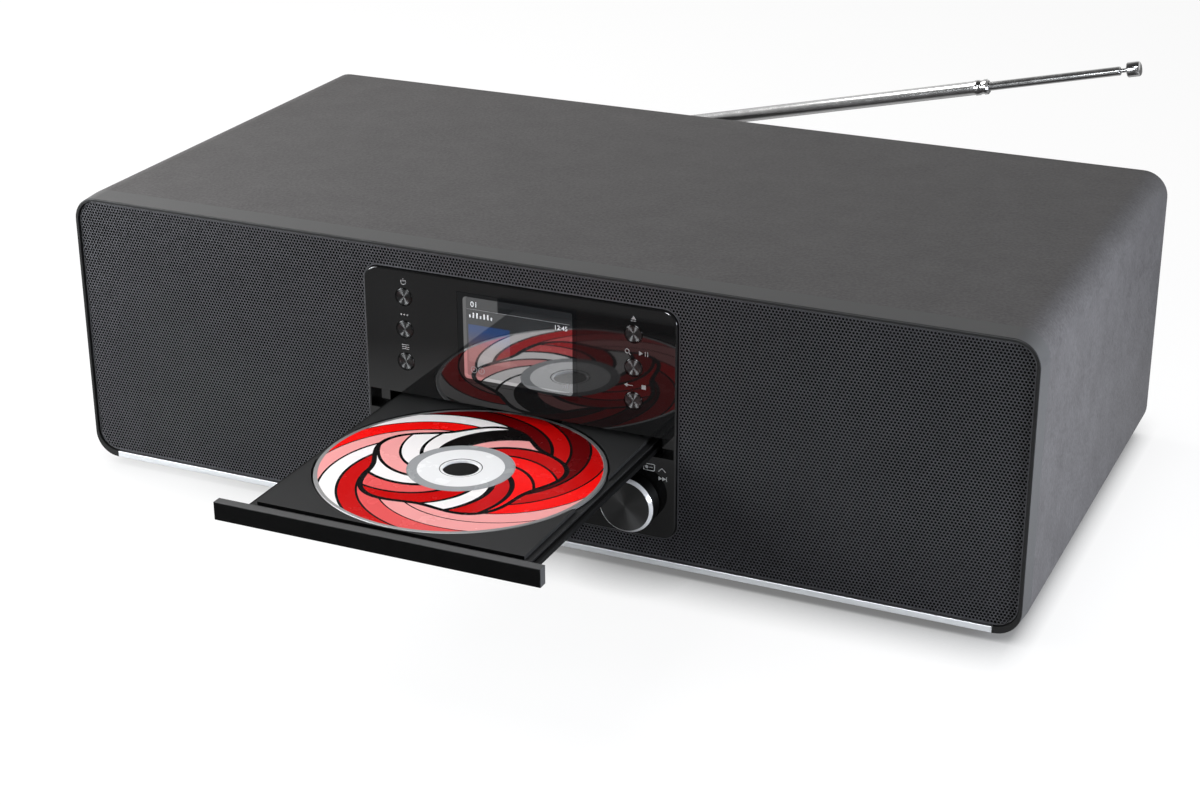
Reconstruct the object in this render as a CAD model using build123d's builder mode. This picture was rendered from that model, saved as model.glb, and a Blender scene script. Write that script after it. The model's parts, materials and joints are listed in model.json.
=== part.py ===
from build123d import *
from math import acos, cos, degrees, pi, radians, sin, sqrt, tan
import os

# All-in-one audio system: a wooden cabinet with a disc drive, a display panel, two speakers and a rod
# antenna. Millimetres. X runs to the right seen from the front, Y to the back, Z up.
# The origin is the centre of the cabinet's underside. The disc tray is modelled open.

# Cabinet
cabinet_width = 447.0
cabinet_height = 129.0
cabinet_depth = 231.0
cabinet_corner = 12.0
cabinet_wall = 12.0
cabinet_inner_corner = 3.0
cabinet_edge = 0.6
rear_rebate_width = 7.0
rear_rebate_depth = 6.0
rear_panel_thickness = 3.5
rear_panel_gap = 0.3
foot_radius = 9.0
foot_height = 3.0
foot_inset_x = 28.0
foot_inset_y = 24.0

# Front ring, grille and trim strip
ring_depth = 11.2
ring_taper = 0.8
ring_lip = 1.4
ring_bottom_lip = 3.0
ring_ledge = 3.0
ring_edge = 0.5
grille_thickness = 1.0
grille_inset = 1.2
grille_gap = 0.4
strip_side_inset = 12.5
strip_edge = 0.35

# Control panel
panel_beside_slot = 1.0
panel_height = 103.0
panel_bottom = 14.0
panel_corner = 6.5
panel_face = 3.0
panel_skirt = 2.0
panel_edge = 0.7
window_width = 56.0
window_height = 41.0
window_thickness = 2.0
window_centre_z = 91.0
window_rim = 1.6
display_thickness = 3.4
panel_board_thickness = 1.6
panel_board_margin = 5.0
panel_board_above_slot = 4.0
panel_boss_radius = 2.5
panel_boss_inset = 9.0
small_gap = 0.1

# Buttons: two columns of three
button_radius = 4.0
button_edge = 0.3
button_proud = 0.1
button_gap = 0.2
button_travel = 0.5
button_column = 53.65
button_rows = (105.0, 90.1, 75.2)
button_flange = 0.9
button_flange_thickness = 0.8
switch_size = 6.0
switch_height = 1.4

# Volume knob and its encoder
knob_x = 53.65
knob_z = 30.5
knob_radius = 12.5
knob_reach = 9.0
knob_gap = 0.8
knob_chamfer_wide = 1.3
knob_chamfer_deep = 1.5
knob_shaft_radius = 3.0
knob_shaft_in_encoder = 2.8
knob_hole_gap = 0.3
knob_travel = 0.6
encoder_size = 13.0
encoder_back_wall = 0.5
running_gap = 0.05

# Tray slot, tray and disc
slot_beside_tray = 10.4
slot_height = 9.0
slot_bottom = 51.3
bar_side_gap = 0.7
bar_height = 7.8
bar_thickness = 4.4
bar_edge = 0.4
tray_beside_disc = 1.6
tray_top = 57.0
tray_plate = 2.6
tray_flange_wide = 2.0
tray_flange_thick = 2.0
tray_flange_lap = 0.5
tray_behind_disc = 45.9
travel_past_disc = 6.4
tray_gap = 0.3
tray_side_gap = 0.6
baffle_slot_side = 2.0
baffle_slot_room = 1.5
slot_side_gap = 1.4
disc_radius = 60.0
disc_thickness = 1.2
disc_hole_radius = 7.5
disc_recess_depth = 1.6
disc_recess_gap = 0.9
disc_lift_off = 0.2
bar_to_disc = 9.1
small_disc_recess_radius = 40.5
small_disc_recess_depth = 0.7
tray_hub_radius = 17.5
tray_window_half = 18.0
tray_window_past_pickup = 32.0

# Disc drive
drive_beside_tray = 10.4
drive_side_wall = 2.5
drive_floor_top = 40.0
drive_floor_thickness = 2.0
drive_wall_top = 60.0
drive_behind_tray = 6.1
drive_window_half = 27.0
drive_window_room = 1.0
drive_leg_radius = 5.0
drive_leg_inset = 8.0
guide_thickness = 2.0
ledge_thickness = 2.7
lift_travel = 7.0
turntable_radius = 15.0
turntable_thickness = 2.0
turntable_below_disc = 0.3
hub_boss_radius = 7.2
hub_boss_height = 2.5
hub_boss_slope_wide = 1.2
hub_boss_slope_high = 1.4
spindle_shaft_radius = 1.0
spindle_hole_radius = 2.0
spindle_motor_radius = 12.5
spindle_motor_height = 12.0
spindle_end_room = 2.0
spindle_end_gap = 0.5
traverse_thickness = 2.0
traverse_above_floor = 3.0
traverse_half_width = 34.0
traverse_front = 18.0
traverse_back = 86.0
pickup_window_half = 23.0
pickup_window_from_spindle = 16.0
pickup_end_room = 1.0
pickup_travel = 32.0
pickup_length = 20.0
pickup_half_width = 22.0
pickup_height_past_plate = 1.5
lens_from_front = 9.0
lens_mount_radius = 5.0
lens_mount_height = 0.5
lens_radius = 2.0
lens_height = 0.9
follower_half_width = 2.0
follower_front = 2.0
follower_length = 6.0
rod_radius = 1.5
rod_x = 19.0
rod_seat = 3.0
rod_seat_drop = 0.8
rod_end_gap = 0.1
rod_end_cover = 0.5
screw_radius = 1.4
screw_x = -12.0
screw_bearing_half = 3.0
screw_bearing_low = 2.8
screw_in_motor = 4.0
screw_end_gap = 0.5
sled_motor_radius = 4.5
sled_motor_length = 11.0
damper_x = 30.5
damper_inset = 5.0
damper_radius = 3.3
damper_lip = 1.1
damper_post_radius = 1.5
damper_seat_radius = 2.5
damper_seat_gap = 0.1
bridge_thickness = 1.5
bridge_depth = 36.0
puck_radius = 13.0
puck_hub_radius = 5.5
puck_hub_gap = 0.5
puck_above_disc = 1.2
puck_cap_wide = 3.0
puck_cap_thickness = 1.4
puck_cap_gap = 0.2

# Loading gears
gear_module = 1.0
pinion_teeth = 16
wheel_teeth = 36
small_gear_teeth = 12
gear_backlash = 0.12
gear_post_radius = 2.0
gear_post_foot = 1.5
pressure_angle = 20.0
flank_steps = 4
rack_depth = 2.4
rack_past_travel = 12.0
wheel_below_rack = 1.6
wheel_thickness = 2.6
wheel_pocket_gap = 0.4
small_gear_lap = 0.2
pulley_above_gear = 0.4
pinion_x = -50.0
pinion_behind_front = 22.0
gear_line_angle = -15.0
pulley_radius = 11.0
motor_pulley_radius = 3.0
belt_thickness = 1.0
belt_height = 1.4
belt_gap = 0.1
loading_motor_radius = 10.0
loading_motor_height = 15.0
loading_shaft_depth = 10.0
loading_hole_radius = 2.0
belt_span = 37.0

# Speakers
baffle_thickness = 10.0
baffle_gap = 0.2
speaker_hole_radius = 43.0
speaker_flange_wide = 5.0
speaker_flange_thickness = 3.0
basket_depth = 30.0
basket_wall = 1.5
basket_neck_radius = 20.0
basket_lip = 2.0
cone_inside_hole = 8.0
cone_depth = 16.0
cone_wall = 0.8
dome_rise = 4.0
former_radius = 9.0
former_wall = 1.0
former_end_room = 4.0
roll_radius = 2.0
surround_wall = 0.8
surround_gap = 0.3
magnet_radius = 22.0
magnet_thickness = 18.0
speaker_screw_radius = 1.4
seat_ledge = 3.0
cone_behind_flange = 1.0
former_hole_gap = 1.0
roll_shoulder = 0.7
surround_lap = 2.0
speaker_screw_depth = 8.0

# Rear fittings
port_inner_radius = 14.0
port_wall = 2.0
port_flange = 4.0
port_flange_thickness = 1.5
port_flare = 1.5
port_flare_depth = 2.0
port_length = 60.0
jack_bore_radius = 1.8
jack_bore_depth = 14.0
jack_bush_radius = 3.9
jack_body = 12.0
jack_body_depth = 13.0
jack_proud = 1.0
jack_x = (22.0, 42.0)
jack_z = 32.0
inlet_from_wall = 26.5
inlet_z = 34.0
inlet_width = 30.0
inlet_height = 20.0
inlet_flange = 2.0
inlet_flange_lap = 3.0
inlet_back_wall = 3.0
inlet_pin_radius = 1.2
inlet_pin_half_pitch = 4.3
inlet_pin_below_mouth = 3.0
socket_width = 17.0
socket_height = 9.0
socket_depth = 12.0
board_z = 18.0
board_thickness = 1.6
board_rear_gap = 0.5
main_board_half_width = 56.0
main_board_depth = 159.0
power_board_beside_drive = 28.0
power_board_depth = 99.0
power_board_from_wall = 11.5
standoff_radius = 3.0
standoff_inset = 6.0
transformer_width = 28.0
transformer_depth = 26.0
tall_part_height = 22.4
capacitor_count = 2
capacitor_gap = 2.0
fin_pitch = 5.0
fin_thickness = 1.5
fin_count = 8
sink_depth = 30.0
sink_height = 10.0
sink_base = 2.0
screw_head_radius = 2.5
screw_head_height = 1.6
screw_head_flat = 0.6
screw_tip_gap = 0.5
rear_screw_radius = 1.3
rear_screw_inset = 3.2
rear_screw_from_side = 12.0
rear_screw_inner_x = 70.0

# Antenna
antenna_x = -75.0
antenna_z = 109.8
antenna_angle = 13.0
antenna_standoff = 9.0
antenna_flange_radius = 7.0
antenna_stem_radius = 3.0
antenna_base_radius = 3.3
antenna_base_bore = 2.6
antenna_base_length = 214.0
antenna_mid_radius = 2.1
antenna_mid_bore = 1.55
antenna_mid_length = 195.0
antenna_mid_out = 63.0
antenna_rod_radius = 1.0
antenna_rod_length = 172.0
antenna_rod_out = 3.2
antenna_cap_radius = 3.6
antenna_cap_length = 6.2
antenna_cap_edge = 0.5
antenna_cap_nose = 1.5
antenna_tang = 2.6
antenna_ear = 1.8
antenna_pin_radius = 1.2
antenna_head_half = 5.2
antenna_head_wall = 1.0
antenna_neck = 1.5
antenna_socket_depth = 8.0
antenna_socket_wall = 1.8
antenna_socket_proud = 2.5
antenna_socket_edge = 0.6
antenna_turn_gap = 0.4
antenna_end_wall = 3.0
ferrule_length = 7.0
ferrule_rise = 0.35
bead_groove_start = 4.6
bead_groove_end = 2.2
bead_slope = 0.4
mid_collar_length = 4.0
slider_length = 5.0
rod_slider_length = 4.0

# Places that follow from the sizes above
strip_width = cabinet_width - 2 * strip_side_inset
tray_half_width = disc_radius + tray_beside_disc
slot_width = 2 * (tray_half_width + slot_beside_tray)
panel_width = slot_width + 2 * panel_beside_slot
drive_half_width = tray_half_width + drive_beside_tray
disc_behind_bar = disc_radius + bar_to_disc
tray_length = disc_behind_bar + disc_radius + tray_behind_disc
tray_travel = 2 * disc_radius + travel_past_disc
front_y = -cabinet_depth / 2
rear_y = cabinet_depth / 2
shell_front_y = front_y + ring_depth
baffle_rear_y = shell_front_y + baffle_thickness
inner_half = cabinet_width / 2 - cabinet_wall
inner_low = cabinet_wall
inner_high = cabinet_height - cabinet_wall
panel_centre_z = panel_bottom + panel_height / 2
panel_rear_y = front_y + panel_face
slot_centre_z = slot_bottom + slot_height / 2
bar_width = slot_width - 2 * bar_side_gap
bar_bottom = slot_centre_z - bar_height / 2
bar_front_y = front_y - tray_travel
bar_rear_y = bar_front_y + bar_thickness
tray_rear_y = bar_rear_y + tray_length
tray_under = tray_top - tray_plate
tray_outer = tray_half_width + tray_flange_wide
disc_y = bar_rear_y + disc_behind_bar
disc_under = tray_top - disc_recess_depth + disc_lift_off
disc_top = disc_under + disc_thickness
spindle_y = disc_y + tray_travel
speaker_x = (panel_width / 2 + inner_half) / 2
speaker_z = cabinet_height / 2
port_x = speaker_x
inlet_x = inner_half - inlet_from_wall


def facing(y):
    """Sketch plane across the object at depth y. It faces the front, with X right and Z up."""
    return Plane.XZ.offset(-y)


def level(z):
    """Horizontal sketch plane at height z."""
    return Plane.XY.offset(z)


def block(x, y, z, mode=Mode.ADD):
    """Box between the two values given for each axis."""
    with Locations(((x[0] + x[1]) / 2, (y[0] + y[1]) / 2, (z[0] + z[1]) / 2)):
        Box(x[1] - x[0], y[1] - y[0], z[1] - z[0], mode=mode)


def turned_z(x, y, outline, mode=Mode.ADD):
    """Solid turned about an upright axis through (x, y). The outline holds (radius, height) points."""
    with BuildSketch(Plane(origin=(x, y, 0), x_dir=(1, 0, 0), z_dir=(0, -1, 0))) as profile:
        with BuildLine():
            Polyline(*outline, close=True)
        make_face()
    revolve(profile.sketch, axis=Axis((x, y, 0), (0, 0, 1)), mode=mode)


def turned_y(x, z, outline, mode=Mode.ADD):
    """Solid turned about a front-to-back axis through (x, z). The outline holds (radius, y) points."""
    with BuildSketch(Plane(origin=(x, 0, z), x_dir=(1, 0, 0), z_dir=(0, 0, 1))) as profile:
        with BuildLine():
            Polyline(*outline, close=True)
        make_face()
    revolve(profile.sketch, axis=Axis((x, 0, z), (0, 1, 0)), mode=mode)


def ring_z(x, y, inner, outer, z, mode=Mode.ADD):
    """Upright tube, or a solid cylinder where inner is 0."""
    turned_z(x, y, [(inner, z[0]), (outer, z[0]), (outer, z[1]), (inner, z[1])], mode)


def ring_y(x, z, inner, outer, y, mode=Mode.ADD):
    """Front-to-back tube, or a solid cylinder where inner is 0."""
    turned_y(x, z, [(inner, y[0]), (outer, y[0]), (outer, y[1]), (inner, y[1])], mode)


def rounded_slab(width, height, corner, centre_z, y, mode=Mode.ADD):
    """Upright slab with rounded corners, from depth y[0] back to y[1]."""
    with BuildSketch(facing(y[0])) as profile:
        with Locations((0, centre_z)):
            RectangleRounded(width, height, corner)
    extrude(profile.sketch, amount=-(y[1] - y[0]), mode=mode)


def save(part, label):
    """Names a finished piece and writes it to its own file."""
    part.label = label
    export_step(part, f"parts/{label}.step")


os.makedirs("parts", exist_ok=True)

# Cabinet shell: a veneered tube with a rebate for the rear panel
with BuildPart() as cabinet_shell:
    with BuildSketch(facing(shell_front_y)):
        with Locations((0, cabinet_height / 2)):
            RectangleRounded(cabinet_width, cabinet_height, cabinet_corner)
            RectangleRounded(
                2 * inner_half, inner_high - inner_low, cabinet_inner_corner, mode=Mode.SUBTRACT
            )
    extrude(amount=-(rear_y - shell_front_y))
    with BuildSketch(facing(rear_y)):
        with Locations((0, cabinet_height / 2)):
            RectangleRounded(
                2 * (inner_half + rear_rebate_width),
                inner_high - inner_low + 2 * rear_rebate_width,
                cabinet_corner - (cabinet_wall - rear_rebate_width),
            )
    extrude(amount=rear_rebate_depth, mode=Mode.SUBTRACT)
    rim = cabinet_shell.faces().sort_by(Axis.Y)[-1].outer_wire().edges()
    fillet(rim, cabinet_edge)
save(cabinet_shell.part, "cabinet_shell")

# Front ring: tapers a little to the front and carries the grille on a ledge
ring_front_width = cabinet_width - 2 * ring_taper
ring_front_height = cabinet_height - 2 * ring_taper
pocket_width = ring_front_width - 2 * ring_lip
pocket_low = ring_taper + ring_bottom_lip
pocket_high = cabinet_height - ring_taper - ring_lip
pocket_corner = cabinet_corner - ring_taper - ring_lip
pocket_depth = grille_inset + grille_thickness
strip_low = ring_taper
strip_high = pocket_low
with BuildPart() as front_ring:
    with BuildSketch(facing(shell_front_y)):
        with Locations((0, cabinet_height / 2)):
            RectangleRounded(cabinet_width, cabinet_height, cabinet_corner)
    with BuildSketch(facing(front_y)):
        with Locations((0, cabinet_height / 2)):
            RectangleRounded(ring_front_width, ring_front_height, cabinet_corner - ring_taper)
    loft()
    front_rim = front_ring.faces().sort_by(Axis.Y)[0].outer_wire().edges()
    fillet(front_rim, ring_edge)
    rounded_slab(
        pocket_width,
        pocket_high - pocket_low,
        pocket_corner,
        (pocket_low + pocket_high) / 2,
        (front_y - 1, front_y + pocket_depth),
        Mode.SUBTRACT,
    )
    rounded_slab(
        pocket_width - 2 * ring_ledge,
        pocket_high - pocket_low - 2 * ring_ledge,
        pocket_corner - ring_ledge,
        (pocket_low + pocket_high) / 2,
        (front_y, shell_front_y + 1),
        Mode.SUBTRACT,
    )
    block(
        (-strip_width / 2 - small_gap, strip_width / 2 + small_gap),
        (front_y - 1, front_y + pocket_depth),
        (-1, strip_high + small_gap),
        Mode.SUBTRACT,
    )
save(front_ring.part, "front_ring")

# Speaker grille: one perforated sheet with an opening for the control panel
grille_low = pocket_low + grille_gap
grille_high = pocket_high - grille_gap
grille_width = pocket_width - 2 * grille_gap
with BuildPart() as speaker_grille:
    rounded_slab(
        grille_width,
        grille_high - grille_low,
        pocket_corner - grille_gap,
        (grille_low + grille_high) / 2,
        (front_y + grille_inset, front_y + pocket_depth),
    )
    rounded_slab(
        panel_width + 2 * grille_gap,
        panel_height + 2 * grille_gap,
        panel_corner + grille_gap,
        panel_centre_z,
        (front_y, front_y + pocket_depth + 1),
        Mode.SUBTRACT,
    )
save(speaker_grille.part, "speaker_grille")

# Trim strip along the bottom edge
with BuildPart() as trim_strip:
    block((-strip_width / 2, strip_width / 2), (front_y, front_y + pocket_depth), (strip_low, strip_high))
    fillet(trim_strip.faces().sort_by(Axis.Y)[0].edges(), strip_edge)
save(trim_strip.part, "trim_strip")

# Control panel: a gloss face on a skirt, with the tray's recess across it
recess_depth = bar_thickness + tray_gap
window_z = (window_centre_z - window_height / 2, window_centre_z + window_height / 2)
through_face = (front_y - 1, panel_rear_y + 1)
slot_half = tray_outer + slot_side_gap
board_low = slot_bottom + slot_height + panel_board_above_slot
board_high = panel_bottom + panel_height - panel_board_margin
boss_rows = (board_low + panel_boss_radius, board_high - panel_boss_radius)
boss_places = [(s * (panel_width / 2 - panel_boss_inset), z) for s in (-1, 1) for z in boss_rows]
board_front_y = panel_rear_y + small_gap + display_thickness + small_gap
button_places = [(s * button_column, z) for s in (-1, 1) for z in button_rows]
with BuildPart() as control_panel:
    rounded_slab(panel_width, panel_height, panel_corner, panel_centre_z, (front_y, shell_front_y))
    fillet(control_panel.faces().sort_by(Axis.Y)[0].outer_wire().edges(), panel_edge)
    rounded_slab(
        panel_width - 2 * panel_skirt,
        panel_height - 2 * panel_skirt,
        panel_corner - panel_skirt,
        panel_centre_z,
        (panel_rear_y, shell_front_y + 1),
        Mode.SUBTRACT,
    )
    block(
        (-panel_width / 2 + panel_skirt / 2, panel_width / 2 - panel_skirt / 2),
        (panel_rear_y - panel_face / 2, shell_front_y),
        (slot_bottom - panel_skirt, slot_bottom + slot_height + panel_skirt),
    )
    block(
        (-slot_width / 2, slot_width / 2),
        (front_y - 1, front_y + recess_depth),
        (slot_bottom, slot_bottom + slot_height),
        Mode.SUBTRACT,
    )
    block(
        (-slot_half, slot_half),
        (front_y, shell_front_y + 1),
        (slot_bottom, slot_bottom + slot_height),
        Mode.SUBTRACT,
    )
    block(
        (-window_width / 2, window_width / 2),
        (front_y - 1, front_y + window_thickness),
        window_z,
        Mode.SUBTRACT,
    )
    block(
        (-window_width / 2 + window_rim, window_width / 2 - window_rim),
        (front_y, panel_rear_y + small_gap),
        (window_z[0] + window_rim, window_z[1] - window_rim),
        Mode.SUBTRACT,
    )
    for x, z in button_places:
        ring_y(x, z, 0, button_radius + button_gap, through_face, Mode.SUBTRACT)
    ring_y(knob_x, knob_z, 0, knob_shaft_radius + knob_hole_gap, through_face, Mode.SUBTRACT)
    for x, z in boss_places:
        ring_y(x, z, 0, panel_boss_radius, (panel_rear_y - panel_face / 2, board_front_y - small_gap))
save(control_panel.part, "control_panel")

# Display window: a smoked sheet flush with the panel's face
with BuildPart() as display_window:
    block(
        (-window_width / 2 + small_gap, window_width / 2 - small_gap),
        (front_y, front_y + window_thickness),
        (window_z[0] + small_gap, window_z[1] - small_gap),
    )
save(display_window.part, "display_window")

# Display module between the panel's face and its board
with BuildPart() as display_module:
    block(
        (-window_width / 2, window_width / 2),
        (panel_rear_y + small_gap, panel_rear_y + small_gap + display_thickness),
        window_z,
    )
save(display_module.part, "display_module")

# Panel board with the switches on its front
with BuildPart() as panel_board:
    block(
        (-panel_width / 2 + panel_board_margin, panel_width / 2 - panel_board_margin),
        (board_front_y, board_front_y + panel_board_thickness),
        (board_low, board_high),
    )
save(panel_board.part, "panel_board")

with BuildPart() as tact_switches:
    for x, z in button_places:
        block(
            (x - switch_size / 2, x + switch_size / 2),
            (board_front_y - switch_height, board_front_y),
            (z - switch_size / 2, z + switch_size / 2),
        )
save(tact_switches.part, "tact_switches")

# Six push buttons, each with a flange behind the panel and a stem to its switch
button_names = (
    ("menu_button", "mode_button", "power_button"),
    ("stop_button", "play_button", "eject_button"),
)
flange_front_y = panel_rear_y + tray_gap
stem_end_y = board_front_y - switch_height - button_travel - small_gap / 2
for side, column in zip((-1, 1), button_names):
    for name, row in zip(column, sorted(button_rows)):
        with BuildPart() as button:
            turned_y(
                side * button_column,
                row,
                [
                    (0, front_y - button_proud),
                    (button_radius - button_edge, front_y - button_proud),
                    (button_radius, front_y - button_proud + button_edge),
                    (button_radius, flange_front_y),
                    (button_radius + button_flange, flange_front_y),
                    (button_radius + button_flange, flange_front_y + button_flange_thickness),
                    (switch_size / 4, flange_front_y + button_flange_thickness),
                    (switch_size / 4, stem_end_y),
                    (0, stem_end_y),
                ],
            )
        save(button.part, name)

# Encoder: body behind the panel, plunger inside it, and the knob on its own shaft
encoder_front_y = panel_rear_y + small_gap
encoder_rear_y = shell_front_y - tray_gap
shaft_end_y = encoder_front_y + knob_shaft_in_encoder
plunger_front_y = shaft_end_y + small_gap
plunger_rear_y = encoder_rear_y - encoder_back_wall - knob_travel
with BuildPart() as encoder_body:
    block(
        (knob_x - encoder_size / 2, knob_x + encoder_size / 2),
        (encoder_front_y, encoder_rear_y),
        (knob_z - encoder_size / 2, knob_z + encoder_size / 2),
    )
    ring_y(
        knob_x,
        knob_z,
        0,
        knob_shaft_radius + running_gap,
        (encoder_front_y - 1, plunger_rear_y + knob_travel + small_gap),
        Mode.SUBTRACT,
    )
save(encoder_body.part, "encoder_body")

with BuildPart() as encoder_plunger:
    ring_y(knob_x, knob_z, 0, knob_shaft_radius, (plunger_front_y, plunger_rear_y))
save(encoder_plunger.part, "encoder_plunger")

knob_face_y = front_y - knob_reach
knob_back_y = front_y - knob_gap
with BuildPart() as volume_knob:
    turned_y(
        knob_x,
        knob_z,
        [
            (0, knob_face_y),
            (knob_radius - knob_chamfer_wide, knob_face_y),
            (knob_radius, knob_face_y + knob_chamfer_deep),
            (knob_radius, knob_back_y),
            (knob_shaft_radius, knob_back_y),
            (knob_shaft_radius, shaft_end_y),
            (0, shaft_end_y),
        ],
    )
save(volume_knob.part, "volume_knob")

# Front baffle inside the shell, with the speaker holes and the tray's passage
speaker_places = [(-speaker_x, speaker_z), (speaker_x, speaker_z)]
speaker_screw_circle = speaker_hole_radius + speaker_flange_wide / 2
speaker_screw_places = [
    (x + speaker_screw_circle * cos(radians(a)), z + speaker_screw_circle * sin(radians(a)))
    for x, z in speaker_places
    for a in (45, 135, 225, 315)
]
with BuildPart() as front_baffle:
    rounded_slab(
        2 * (inner_half - baffle_gap),
        inner_high - inner_low - 2 * baffle_gap,
        cabinet_inner_corner,
        cabinet_height / 2,
        (shell_front_y, baffle_rear_y),
    )
    for x, z in speaker_places:
        ring_y(x, z, 0, speaker_hole_radius, (shell_front_y - 1, baffle_rear_y + 1), Mode.SUBTRACT)
    for x, z in speaker_screw_places:
        ring_y(
            x,
            z,
            0,
            speaker_screw_radius + running_gap,
            (shell_front_y - 1, shell_front_y + speaker_screw_depth),
            Mode.SUBTRACT,
        )
    block(
        (-slot_half - baffle_slot_side, slot_half + baffle_slot_side),
        (shell_front_y - 1, baffle_rear_y + 1),
        (slot_bottom - baffle_slot_room, slot_bottom + slot_height + baffle_slot_room),
        Mode.SUBTRACT,
    )
save(front_baffle.part, "front_baffle")

# Speakers: pressed basket, magnet, cone with its former, and a half-roll surround
flange_y = shell_front_y - speaker_flange_thickness
basket_rear_y = shell_front_y + basket_depth
speaker_flange_radius = speaker_hole_radius + speaker_flange_wide
basket_outer = speaker_hole_radius - basket_wall / 2
former_hole_radius = former_radius + 2 * former_wall + former_hole_gap
seat_outer = speaker_hole_radius - basket_lip
seat_inner = seat_outer - seat_ledge
seat_y = flange_y + speaker_flange_thickness / 2
cone_radius = speaker_hole_radius - cone_inside_hole
cone_front_y = flange_y + cone_behind_flange
cone_rear_y = cone_front_y + cone_depth
former_rear_y = basket_rear_y - former_end_room
with BuildPart() as speaker_baskets:
    for x, z in speaker_places:
        turned_y(
            x,
            z,
            [
                (seat_inner, seat_y),
                (seat_inner, seat_y + basket_wall),
                (basket_outer - basket_wall, shell_front_y + basket_lip),
                (basket_neck_radius, basket_rear_y - basket_wall),
                (former_hole_radius, basket_rear_y - basket_wall),
                (former_hole_radius, basket_rear_y),
                (basket_neck_radius + basket_wall, basket_rear_y),
                (basket_outer, shell_front_y + basket_lip),
                (basket_outer, shell_front_y),
                (speaker_flange_radius, shell_front_y),
                (speaker_flange_radius, flange_y),
                (seat_outer, flange_y),
                (seat_outer, seat_y),
            ],
        )
    for x, z in speaker_screw_places:
        ring_y(
            x, z, 0, speaker_screw_radius + running_gap, (flange_y - 1, shell_front_y + 1), Mode.SUBTRACT
        )
save(speaker_baskets.part, "speaker_baskets")

with BuildPart() as speaker_magnets:
    for x, z in speaker_places:
        ring_y(x, z, 0, magnet_radius, (basket_rear_y, basket_rear_y + magnet_thickness))
save(speaker_magnets.part, "speaker_magnets")

with BuildPart() as speaker_screws:
    for x, z in speaker_screw_places:
        turned_y(
            x,
            z,
            [
                (0, flange_y - screw_head_height),
                (screw_head_radius * screw_head_flat, flange_y - screw_head_height),
                (screw_head_radius, flange_y - screw_head_height / 2),
                (screw_head_radius, flange_y),
                (speaker_screw_radius, flange_y),
                (speaker_screw_radius, shell_front_y + speaker_screw_depth - screw_tip_gap),
                (0, shell_front_y + speaker_screw_depth - screw_tip_gap),
            ],
        )
save(speaker_screws.part, "speaker_screws")

surround_rear_y = cone_front_y - surround_gap
roll_centre = (cone_radius + seat_outer) / 2
for side, (x, z) in zip(("left", "right"), speaker_places):
    with BuildPart() as cone:
        turned_y(
            x,
            z,
            [
                (0, cone_rear_y - former_wall - 2 * dome_rise),
                (former_radius, cone_rear_y - former_wall - dome_rise),
                (cone_radius, cone_front_y),
                (cone_radius, cone_front_y + cone_wall),
                (former_radius + former_wall, cone_rear_y),
                (former_radius + former_wall, former_rear_y),
                (former_radius, former_rear_y),
                (former_radius, cone_rear_y - dome_rise / 2),
                (0, cone_rear_y - 2 * dome_rise),
            ],
        )
    save(cone.part, f"{side}_cone")
    with BuildPart() as surround:
        turned_y(
            x,
            z,
            [
                (cone_radius - surround_lap, surround_rear_y - surround_wall),
                (roll_centre - roll_radius - surround_wall, surround_rear_y - surround_wall),
                (roll_centre - roll_radius * roll_shoulder, surround_rear_y - roll_radius),
                (roll_centre, surround_rear_y - roll_radius - surround_wall),
                (roll_centre + roll_radius * roll_shoulder, surround_rear_y - roll_radius),
                (roll_centre + roll_radius + surround_wall, surround_rear_y - surround_wall),
                (seat_outer - small_gap, surround_rear_y - surround_wall),
                (seat_outer - small_gap, surround_rear_y),
                (roll_centre + roll_radius, surround_rear_y),
                (roll_centre, surround_rear_y - roll_radius),
                (roll_centre - roll_radius, surround_rear_y),
                (cone_radius - surround_lap, surround_rear_y),
            ],
        )
    save(surround.part, f"{side}_surround")

# Rear panel in the shell's rebate, and its screws
panel_outer_y = rear_y - rear_rebate_depth + rear_panel_thickness
panel_inner_y = rear_y - rear_rebate_depth
rear_half_width = inner_half + rear_rebate_width - rear_panel_gap
rear_low = inner_low - rear_rebate_width + rear_panel_gap
rear_high = inner_high + rear_rebate_width - rear_panel_gap
rear_screw_outer_x = rear_half_width - rear_screw_from_side
rear_screw_places = [
    (x, z)
    for x in (-rear_screw_outer_x, -rear_screw_inner_x, rear_screw_inner_x, rear_screw_outer_x)
    for z in (rear_low + rear_screw_inset, rear_high - rear_screw_inset)
]
port_places = [(-port_x, speaker_z), (port_x, speaker_z)]
port_outer_radius = port_inner_radius + port_wall
inlet_body_half = (inlet_width / 2 - inlet_flange_lap, inlet_height / 2 - inlet_flange_lap)
through_rear = (panel_inner_y - 1, panel_outer_y + 1)
with BuildPart() as rear_panel:
    rounded_slab(
        2 * rear_half_width,
        rear_high - rear_low,
        cabinet_corner - (cabinet_wall - rear_rebate_width) - rear_panel_gap,
        cabinet_height / 2,
        (panel_inner_y, panel_outer_y),
    )
    for x, z in port_places:
        ring_y(x, z, 0, port_outer_radius + small_gap, through_rear, Mode.SUBTRACT)
    for x in jack_x:
        ring_y(x, jack_z, 0, jack_bush_radius + small_gap, through_rear, Mode.SUBTRACT)
    block(
        (inlet_x - inlet_body_half[0] - small_gap, inlet_x + inlet_body_half[0] + small_gap),
        through_rear,
        (inlet_z - inlet_body_half[1] - small_gap, inlet_z + inlet_body_half[1] + small_gap),
        Mode.SUBTRACT,
    )
    ring_y(
        antenna_x,
        antenna_z,
        0,
        antenna_stem_radius + antenna_socket_wall + small_gap,
        through_rear,
        Mode.SUBTRACT,
    )
    for x, z in rear_screw_places:
        ring_y(x, z, 0, rear_screw_radius + running_gap, through_rear, Mode.SUBTRACT)
save(rear_panel.part, "rear_panel")

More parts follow.
